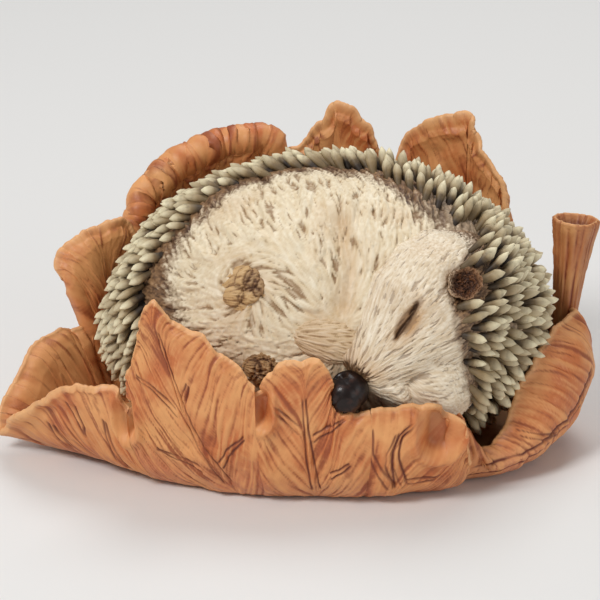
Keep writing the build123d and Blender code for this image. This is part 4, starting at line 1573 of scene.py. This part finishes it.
    def head(self) -> bpy.types.Object:
        """The furred head with its cheek and closed eye.

        Returns:
            The piece.
        """
        rows, columns = scaled(self.head_grid)
        skin, normals = self.bare_head(rows, columns)
        eye = self.closed_eye(skin)
        muzzle = bump_at(skin, (self.nose_root[0] + 2, self.nose_root[1] + 4, 25), 5.5)
        ear_hollow = bump_at(skin, self.ear_place, 3.0)
        shape = (-4.4 * ear_hollow - 1.1 * eye.socket + 0.3 * eye.lid
                 - 0.6 * np.exp(-((eye.gap / 0.5) ** 2)) + 0.5 * muzzle - 0.7 * eye.hollow)
        skin = skin + normals * (shape + 0.3 * lattice_noise(skin, 6.0, 14))[:, None]
        roots = spread_roots(skin.reshape(rows, columns, 3), self.head_coat.pitch, 18)
        roots = roots[eye.gap[roots] > 0.9]
        relief, tone, gap = self.head_coat.carve(skin, normals, self.head_flow, roots)
        fine = combed_noise(skin, self.head_flow, 1.6, 0.20, 22)
        places = skin + normals * (relief + 0.03 * fine)[:, None]
        nose_gap = np.linalg.norm(skin - np.array(self.nose_root), axis=1)
        below = smooth_step(-0.5, 1.5, self.nose_root[1] - skin[:, 1])
        nose_gap += 4.0 * below * smooth_step(8.5, 10.5, skin[:, 0])
        back = 1 - smooth_step(1.5, 5.0, self.frame.belly_edge(skin) - 0.5 + 0.9 * fine)
        back = back * smooth_step(-5, 3, skin[:, 1])
        fringe = np.maximum(back, self.edge_of_head(skin)) * (skin[:, 0] > 14)
        brown = (1 - smooth_step(4.0, 5.5, nose_gap + 0.5 * fine) + 0.95 * np.exp(-((eye.gap / 0.42) ** 2))
                 + 0.85 * fringe + 0.8 * eye.hollow + 1.3 * ear_hollow)
        shade = (0.35 * np.exp(-((eye.gap / 2.4) ** 2)) + 0.75 * eye.glow + 0.6 * eye.hollow
                 + 0.22 * np.clip(lattice_noise(skin, 4.0, 31), 0, 1)
                 + 0.5 * (1 - smooth_step(4, 10, nose_gap)))
        paint = np.stack([0.40 + 0.26 * tone + 0.22 * fine, 0.85 * gap, shade, brown], axis=-1)
        return grid_piece("head_fur", self.frame.world(places).reshape(rows, columns, 3),
                          paint.reshape(rows, columns, 4))

    def edge_of_head(self, skin: np.ndarray) -> np.ndarray:
        """Where the cheek's fur darkens towards the quills at the viewer's right."""
        reach = skin[:, 0] - 0.22 * np.abs(skin[:, 1] + 2)
        return smooth_step(24.9, 27.4, reach + 0.9 * lattice_noise(skin, 1.2, 41))

    def nose(self) -> bpy.types.Object:
        """The round nose with two nostrils.

        Returns:
            The piece.
        """
        count = round(self.nose_grid * detail_scale())
        _, axis = self.head_line()
        centre = np.array(self.nose_root) + axis * 2.2 + np.array([-0.3, -0.9, 0.9])
        out = unit(np.array([0, 0, 1.0]) - axis * axis[2])
        side = np.cross(axis, out)
        facing = unit(axis * 0.55 + out * 0.85)
        up = unit(np.cross(facing, side))
        ball = dome(count, count, math.radians(self.nose_spread)) @ np.array([side, up, facing])
        flat = ball.reshape(-1, 3)
        shape = np.ones(len(flat))
        for forward, aside, outward in self.nostrils:
            mouth = unit(axis * forward + side * aside + out * outward)
            gap = np.linalg.norm(flat - mouth, axis=1)
            outer = smooth_step(-0.16, 0.10, (flat - mouth) @ unit(side - axis))
            shape -= 0.20 * np.exp(-(((gap - 0.24) / 0.10) ** 2)) * outer
            shape += 0.02 * np.exp(-(((gap - 0.45) / 0.09) ** 2)) * outer
            shape += 0.04 * np.exp(-((gap / 0.16) ** 2))
        shape -= 0.05 * np.exp(-((flat @ side / 0.08) ** 2)) * (flat @ axis > 0.55)
        stretch = 1 + 0.16 * np.abs(flat @ axis)
        reach = self.nose_radius * shape * stretch + 0.03 * lattice_noise(flat, 0.2, 3)
        places = self.frame.world(centre + flat * reach[:, None])
        return grid_piece("nose_tip", places.reshape(ball.shape), np.zeros((count, count, 4)), fill=True)

    def ear(self) -> bpy.types.Object:
        """The cupped ear, dark inside.

        Returns:
            The piece.
        """
        columns, rows = scaled(self.ear_grid)
        facing = unit(np.array([0.28, 0.05, 0.95]))
        upright = np.array([0.30, 0.95, 0.0])
        up = unit(upright - facing * (upright @ facing))
        side = np.cross(up, facing)
        centre = np.array(self.ear_place)
        angle = np.linspace(0, 2 * np.pi, columns)
        ring = np.stack([np.cos(angle), np.sin(angle) * 1.16], axis=1)
        wave = (1 + 0.09 * np.sin(2 * angle + 1) + 0.05 * np.sin(5 * angle)
                + 0.035 * np.sin(13 * angle) * np.sin(3 * angle))
        radius, height = np.array(self.ear_profile).T
        knots = np.linspace(0, 1, len(radius))
        share = np.linspace(0, 1, rows)
        flat = (np.interp(share, knots, radius)[:, None] * wave)[..., None] * ring
        wavy = (share > 0.2) & (share < 0.8)
        lift = np.interp(share, knots, height)[:, None] + 0.5 * np.sin(angle * 2) * wavy[:, None]
        local = centre + flat[..., :1] * side + flat[..., 1:] * up + lift[..., None] * facing
        to_face = smooth_step(0.2, 3.0, centre[0] - local[..., 0])
        local = local - (0.7 * to_face * smooth_step(0.1, 0.3, share)[:, None])[..., None] * facing
        fine = combed_noise(local.reshape(-1, 3), lambda p: unit(p - centre), 1.2, 0.25, 51)
        fine = fine.reshape(rows, columns)
        fine[:, -1] = fine[:, 0]
        local = local + (0.14 * fine)[..., None] * facing
        inside = smooth_step(0.52, 0.75, share)[:, None]
        rim = np.exp(-((share - 0.45) / 0.08) ** 2)[:, None]
        lobe = (1 - to_face) * (1 - 0.5 * rim)
        paint = np.stack([0.5 + 0.3 * fine, 0.45 - 0.4 * fine, 0.25 + lobe,
                          inside * (0.95 - 0.35 * to_face) + 0.3 * lobe], axis=-1)
        return grid_piece("ear_cup", self.frame.world(local), paint)

    def build(self) -> None:
        """Models and dresses the animal."""
        fur = self.fur.material("fur_paint")
        head_fur = self.head_fur.material("head_fur_paint")
        skin = self.foot_skin.material("foot_paint")
        ear_paint = self.ear_fur.material("ear_paint")
        dress(self.belly(), fur, ("belly",))
        dress(self.head(), head_fur, ("head",))
        dress(self.nose(), self.lacquer.material("nose_lacquer"), ("nose",))
        dress(self.ear(), ear_paint, ("ear",))
        dress(self.foot.build(self.frame), skin, ("hind_foot",))
        dress(self.lower_foot.build(self.frame), skin, ("lower_foot",))
        dress(self.paw.build(self.frame), fur, ("front_paw",))
        QuillCoat(self).build()


@dataclass(frozen=True)
class Quill:
    """One quill: its place along the body, its root, direction and normal, and how swept back it is."""

    along: float
    root: np.ndarray
    head: np.ndarray
    normal: np.ndarray
    sweep: float = 0.0


@dataclass(frozen=True)
class QuillCoat:
    """The quills, laid like shingles over the back, in patches that meet at seams.

    Seams are shares of the body's half length, and the open end lies past both of its ends. The skull is a
    row of balls along the head, each a share of its length and a radius, and the hood is the radius
    that no quill of the body may enter. Lengths and widths are the shares between which single quills
    differ. Scatter moves their roots, and tousle turns them.
    """

    animal: Hedgehog
    finish: QuillFinish = QuillFinish()
    pitch: float = 2.62
    closest: float = 0.75
    length: float = 5.5
    radius: float = 0.98
    lengths: Pair = (0.85, 1.15)
    widths: Pair = (0.85, 1.12)
    bend: float = 0.06
    knobs: float = 0.30
    flatness: float = 0.86
    scatter: float = 0.012
    tousle: float = 0.11
    head_tousle: float = 0.10
    edge_gap: float = 0.9
    sunk: float = 0.8
    lowest: float = 6.0
    cut_height: float = 0.6
    girth: tuple[Pair, ...] = (
        (0.0, 0.45), (0.10, 0.60), (0.35, 0.84), (0.60, 1.0), (0.78, 0.88), (0.93, 0.42), (1.0, 0.0))
    seams: tuple[float, ...] = (-0.36, 0.16, 0.58)
    open_end: float = 99.0
    nodes: tuple[str, ...] = ("quills_rump", "quills_back", "quills_shoulder", "quills_crown")
    placing_seed: int = 17
    shaping_seed: int = 29
    whorl: Triple = (18.0, -6.0, 27.0)
    skull: tuple[Pair, ...] = ((0.28, 11.4), (0.45, 13.0), (0.60, 12.3))
    hood: tuple[Pair, ...] = ((0.0, 0.0), (0.06, 5.5), (0.21, 10.6), (0.40, 13.0), (0.59, 12.5), (1.0, 6.0))
    ear_root: Triple = (28.0, 3.4, 22.0)
    ear_reach: float = 3.6
    ear_gap: float = 3.9
    ground_inset: float = 0.35
    ground_height: float = 15.6
    ground_slope: Triple = (-0.03, 0.16, 1)

    def template(self) -> tuple[np.ndarray, list[tuple[int, ...]]]:
        """One quill along +Z with a length and a radius of 1.

        Returns:
            Its vertices and its faces.
        """
        deselect()
        bpy.ops.mesh.primitive_uv_sphere_add(segments=8, ring_count=8, radius=1)
        points, faces = self.taken_apart(bpy.context.object)
        along = (1 + np.clip(points[:, 2], -1, 1)) / 2
        girth = np.interp(along, *np.array(self.girth).T)
        girth = np.where(along < 0.01, 0, girth)
        ring = unit(points[:, :2] + 1e-9)
        return np.concatenate([ring * girth[:, None], along[:, None]], axis=1), faces

    def taken_apart(self, piece: bpy.types.Object) -> tuple[np.ndarray, list[tuple[int, ...]]]:
        """Removes a piece and returns its vertices and faces.

        Args:
            piece: Piece that only its mesh is needed of.

        Returns:
            The vertices and the faces.
        """
        points = np.array([tuple(vertex.co) for vertex in piece.data.vertices])
        faces = [tuple(polygon.vertices) for polygon in piece.data.polygons]
        bpy.data.objects.remove(piece)
        return points, faces

    def directions(self, area: float) -> Iterator[np.ndarray]:
        """Directions spread evenly over a ball.

        Args:
            area: Area of the ball, which gives how many quills stand on it at the pitch.

        Yields:
            Unit directions.
        """
        count = round(area / (self.pitch ** 2 * math.sqrt(3) / 2))
        for i in range(count):
            up = 1 - 2 * (i + 0.5) / count
            ring = math.sqrt(1 - up * up)
            turn = math.pi * (3 - math.sqrt(5)) * i
            yield np.array([ring * math.cos(turn), up, ring * math.sin(turn)])

    def away(self, root: np.ndarray, normal: np.ndarray) -> np.ndarray:
        """Direction over the skin that leads away from the whorl."""
        run = root - np.array(self.whorl)
        return unit(run - normal * (run @ normal))

    def body_quills(self, chance: np.random.Generator) -> list[Quill]:
        """Where quills stand on the body.

        Args:
            chance: Source of the small differences.

        Returns:
            The quills.
        """
        frame = self.animal.frame
        half = np.array(frame.half_sizes)
        found = []
        for ball in self.directions(4 * math.pi * np.prod(half) ** (2 / 3)):
            ball = unit(ball + chance.normal(0, self.scatter, 3))
            root = ball * half
            if frame.belly_edge(root[None])[0] > self.edge_gap:
                continue
            normal = unit(ball / half)
            around = unit(np.array([-root[1], root[0], 0.0]) + 1e-9)
            sweep = float(np.clip(0.55 - ball[0], 0, 1))
            head = (normal * (0.62 + 0.22 * sweep) + self.away(root, normal) * (0.75 - 0.25 * sweep)
                    + around * 0.75 * sweep + chance.normal(0, self.tousle, 3))
            world = frame.world(root)
            low_left = world[2] < 19 and world[0] < 22
            low_middle = world[2] < 25 and -27 < world[0] < 27
            in_front = world[1] < -14 and (low_left or low_middle)
            if world[2] < self.lowest or in_front or self.under_head(root):
                continue
            found.append(Quill(root[0], self.filled_out(root), unit(head), normal, sweep))
        return found

    def filled_out(self, places: np.ndarray) -> np.ndarray:
        """The coat's base, fuller at the lower left where it leans on the leaf."""
        push = smooth_step(13, 27, -places[..., 0]) * (1 - smooth_step(-6, 9, places[..., 1]))
        return places + push[..., None] * np.array([-3.0, -1.2, 0.0])

    def head_quills(self, chance: np.random.Generator) -> list[Quill]:
        """Where quills stand on the far side of the cheek and skull, where their fur ends.

        Args:
            chance: Source of the small differences.

        Returns:
            The quills.
        """
        animal = self.animal
        nape, axis = animal.head_line()
        balls = [(np.array(animal.cheek_place), animal.cheek_radius)]
        balls += [(nape + axis * animal.head_length * share, radius) for share, radius in self.skull]
        found = []
        for index, (centre, radius) in enumerate(balls):
            for normal in self.directions(4 * math.pi * radius ** 2):
                root = centre + normal * radius
                inside = sum((root / np.array(animal.frame.half_sizes)) ** 2) < 0.98
                buried = any(np.linalg.norm(root - other) < size - 0.2
                             for j, (other, size) in enumerate(balls) if j != index)
                near_ear = np.linalg.norm(root - np.array(animal.ear_place)) < self.ear_gap
                near_other = any(np.linalg.norm(root - quill.root) < self.pitch * self.closest
                                 for quill in found)
                furred = animal.edge_of_head(root[None] + np.array([0.2, 0, 0]))[0] < 0.9
                low = animal.frame.world(root)[2] < self.lowest
                if inside or buried or near_ear or near_other or furred or low:
                    continue
                head = (normal * 0.55 + self.away(root, normal) * 0.8
                        + chance.normal(0, self.head_tousle, 3))
                found.append(Quill(root[0], root, unit(head), normal))
        return found

    def under_head(self, root: np.ndarray) -> bool:
        """Whether a root lies under the head or the ear.

        Args:
            root: Place in the body's own frame.

        Returns:
            True where it does.
        """
        animal = self.animal
        nape, axis = animal.head_line()
        along = float((root - nape) @ axis)
        off = np.linalg.norm(root - nape - axis * along)
        radius = np.interp(along / animal.head_length, *np.array(self.hood).T)
        in_skull = 0 < along < animal.head_length and off < radius
        in_cheek = np.linalg.norm(root - np.array(animal.cheek_place)) < animal.cheek_radius
        in_ear = np.linalg.norm(root - np.array(self.ear_root)) < self.ear_reach
        return bool(in_skull or in_cheek or in_ear)

    def ground(self, low: float, high: float) -> tuple[np.ndarray, list[tuple[int, ...]]]:
        """Dark skin under one patch, as a closed slice of the body.

        Args:
            low: Where the slice starts along the body.
            high: Where it ends.

        Returns:
            Its vertices in the body's frame and its faces.
        """
        deselect()
        bpy.ops.mesh.primitive_uv_sphere_add(segments=72, ring_count=48, radius=1)
        ball = bpy.context.object
        size = np.array(self.animal.frame.half_sizes) - self.ground_inset
        places = np.array([tuple(vertex.co) for vertex in ball.data.vertices]) * size
        ball.data.vertices.foreach_set("co", places.ravel())
        ball.data.update()
        bpy.ops.object.mode_set(mode="EDIT")
        bpy.ops.mesh.select_all(action="SELECT")
        bpy.ops.mesh.bisect(plane_co=(0, 0, self.ground_height), plane_no=self.ground_slope, use_fill=True,
                            clear_outer=True)
        for cut, keep_above in ((low, True), (high, False)):
            if abs(cut) < self.open_end:
                bpy.ops.mesh.select_all(action="SELECT")
                bpy.ops.mesh.bisect(plane_co=(cut, 0, 0), plane_no=(1, 0, 0), use_fill=True,
                                    clear_inner=keep_above, clear_outer=not keep_above)
        bpy.ops.object.mode_set(mode="OBJECT")
        points, faces = self.taken_apart(ball)
        return self.filled_out(points), faces

    def shaped(self, quill: Quill, shape: np.ndarray, chance: np.random.Generator) -> np.ndarray:
        """Vertices of one quill, a little longer, thicker or more bent than the next.

        Args:
            quill: Where it stands.
            shape: Vertices of the template.
            chance: Source of the small differences.

        Returns:
            The vertices in the body's frame.
        """
        side = unit(np.cross(quill.head, quill.normal))
        over = np.cross(side, quill.head)
        length = self.length * (1 - 0.10 * quill.sweep) * chance.uniform(*self.lengths)
        radius = self.radius * (1 + 0.12 * quill.sweep) * chance.uniform(*self.widths)
        bow = chance.normal(0, self.bend) * length
        knobs = 1 + self.knobs * lattice_noise(shape * [1.6, 1.6, 3.4] + quill.root, 1.0, 33)[:, None]
        across, aside, along = shape[:, :1], shape[:, 1:2], shape[:, 2:]
        return (quill.root - quill.head * self.sunk + across * radius * knobs * side
                + aside * radius * self.flatness * knobs * over + along * (length + self.sunk) * quill.head
                + along ** 2 * bow * over)

    def build(self) -> None:
        """Models and dresses the patches."""
        material = self.finish.material("quill_paint")
        shape, shape_faces = self.template()
        placing = np.random.default_rng(self.placing_seed)
        quills = self.body_quills(placing) + self.head_quills(placing)
        chance = np.random.default_rng(self.shaping_seed)
        half_length = self.animal.frame.half_sizes[0]
        cuts = [-self.open_end, *(share * half_length for share in self.seams), self.open_end]
        for node, low, high in zip(self.nodes, cuts, cuts[1:]):
            points, faces = self.ground(low, high)
            chunks = [points]
            paint = [np.tile([0.5, 0.0, 1.0, 0.0], (len(points), 1))]
            for quill in quills:
                if not low <= quill.along < high:
                    continue
                total = sum(len(chunk) for chunk in chunks)
                chunks.append(self.shaped(quill, shape, chance))
                tone = np.full(len(shape), chance.uniform(0, 1))
                paint.append(np.stack([tone, shape[:, 2], 0 * tone, 0 * tone], axis=1))
                faces.extend(tuple(corner + total for corner in face) for face in shape_faces)
            world = self.animal.frame.world(np.concatenate(chunks))
            world[:, 2] = np.maximum(world[:, 2], self.cut_height)
            mesh = bpy.data.meshes.new(node + "_quills")
            mesh.from_pydata((world * MM).tolist(), [], faces)
            store_paint(mesh, np.concatenate(paint))
            piece = bpy.data.objects.new(node + "_coat", mesh)
            bpy.context.scene.collection.objects.link(piece)
            deselect()
            piece.select_set(True)
            bpy.context.view_layer.objects.active = piece
            bpy.ops.object.shade_smooth()
            dress(piece, material, (node,))


@dataclass(frozen=True)
class Lamp:
    """Soft square lamp: its place and side in metres, and its power in watts."""

    name: str
    place: Triple
    size: float
    power: float

    def build(self, target: Triple) -> None:
        """Hangs the lamp so that it looks at a place.

        Args:
            target: The place, in metres.
        """
        data = bpy.data.lights.new(self.name, "AREA")
        data.size = self.size
        data.energy = self.power
        lamp = bpy.data.objects.new(self.name, data)
        lamp.location = self.place
        lamp.rotation_euler = (Vector(target) - Vector(self.place)).to_track_quat("-Z", "Y").to_euler()
        bpy.context.scene.collection.objects.link(lamp)


@dataclass(frozen=True)
class Studio:
    """Plain pale floor, soft light and the camera at the photograph's angle.

    The camera's target and distance are in millimetres, and the rest is in metres and degrees.
    """

    target: Triple = (-3.0, 3.0, 27.7)
    distance: float = 506.0
    elevation: float = 22.0
    lens: float = 150.0
    sensor: float = 36.0
    floor: float = 6.0
    lit_place: Triple = (0, 0, 0.03)
    daylight: float = 0.30
    lamps: tuple[Lamp, ...] = (Lamp("key", (-0.50, -0.55, 0.80), 0.32, 6.0),
                               Lamp("fill", (0.8, -0.6, 0.35), 0.6, 1.5),
                               Lamp("top", (0.15, 0.40, 0.85), 0.5, 3.2))

    def camera(self) -> None:
        """Sets the camera."""
        rise = math.radians(self.elevation)
        target = Vector(self.target) * MM
        place = target + Vector((0, -math.cos(rise), math.sin(rise))) * self.distance * MM
        data = bpy.data.cameras.new("camera")
        data.lens = self.lens
        data.sensor_width = self.sensor
        data.clip_start = 0.01
        camera = bpy.data.objects.new("camera", data)
        camera.location = place
        camera.rotation_euler = (target - place).to_track_quat("-Z", "Y").to_euler()
        bpy.context.scene.collection.objects.link(camera)
        bpy.context.scene.camera = camera

    def build(self) -> None:
        """Builds floor, lamps, world and camera."""
        deselect()
        bpy.ops.mesh.primitive_plane_add(size=self.floor)
        floor = bpy.context.object
        floor.name = "floor"
        floor.data.materials.append(FloorFinish().material("floor_paint"))
        for lamp in self.lamps:
            lamp.build(self.lit_place)
        world = bpy.data.worlds.new("room")
        world.use_nodes = True
        background = world.node_tree.nodes["Background"]
        background.inputs["Color"].default_value = (1, 1, 1, 1)
        background.inputs["Strength"].default_value = self.daylight
        bpy.context.scene.world = world
        bpy.context.scene.view_settings.view_transform = "Standard"
        self.camera()


def corners(bounds: object) -> list[list[float]]:
    """A box as plain lists of numbers."""
    return [[float(value) for value in corner] for corner in bounds]


def main() -> None:
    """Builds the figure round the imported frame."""
    logging.basicConfig(level=logging.INFO, format="%(name)s: %(message)s")
    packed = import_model()
    Nest().build(packed["nodes"]["leaf_bed"])
    Hedgehog().build()
    Studio().build()


if __name__ == "__main__":
    main()
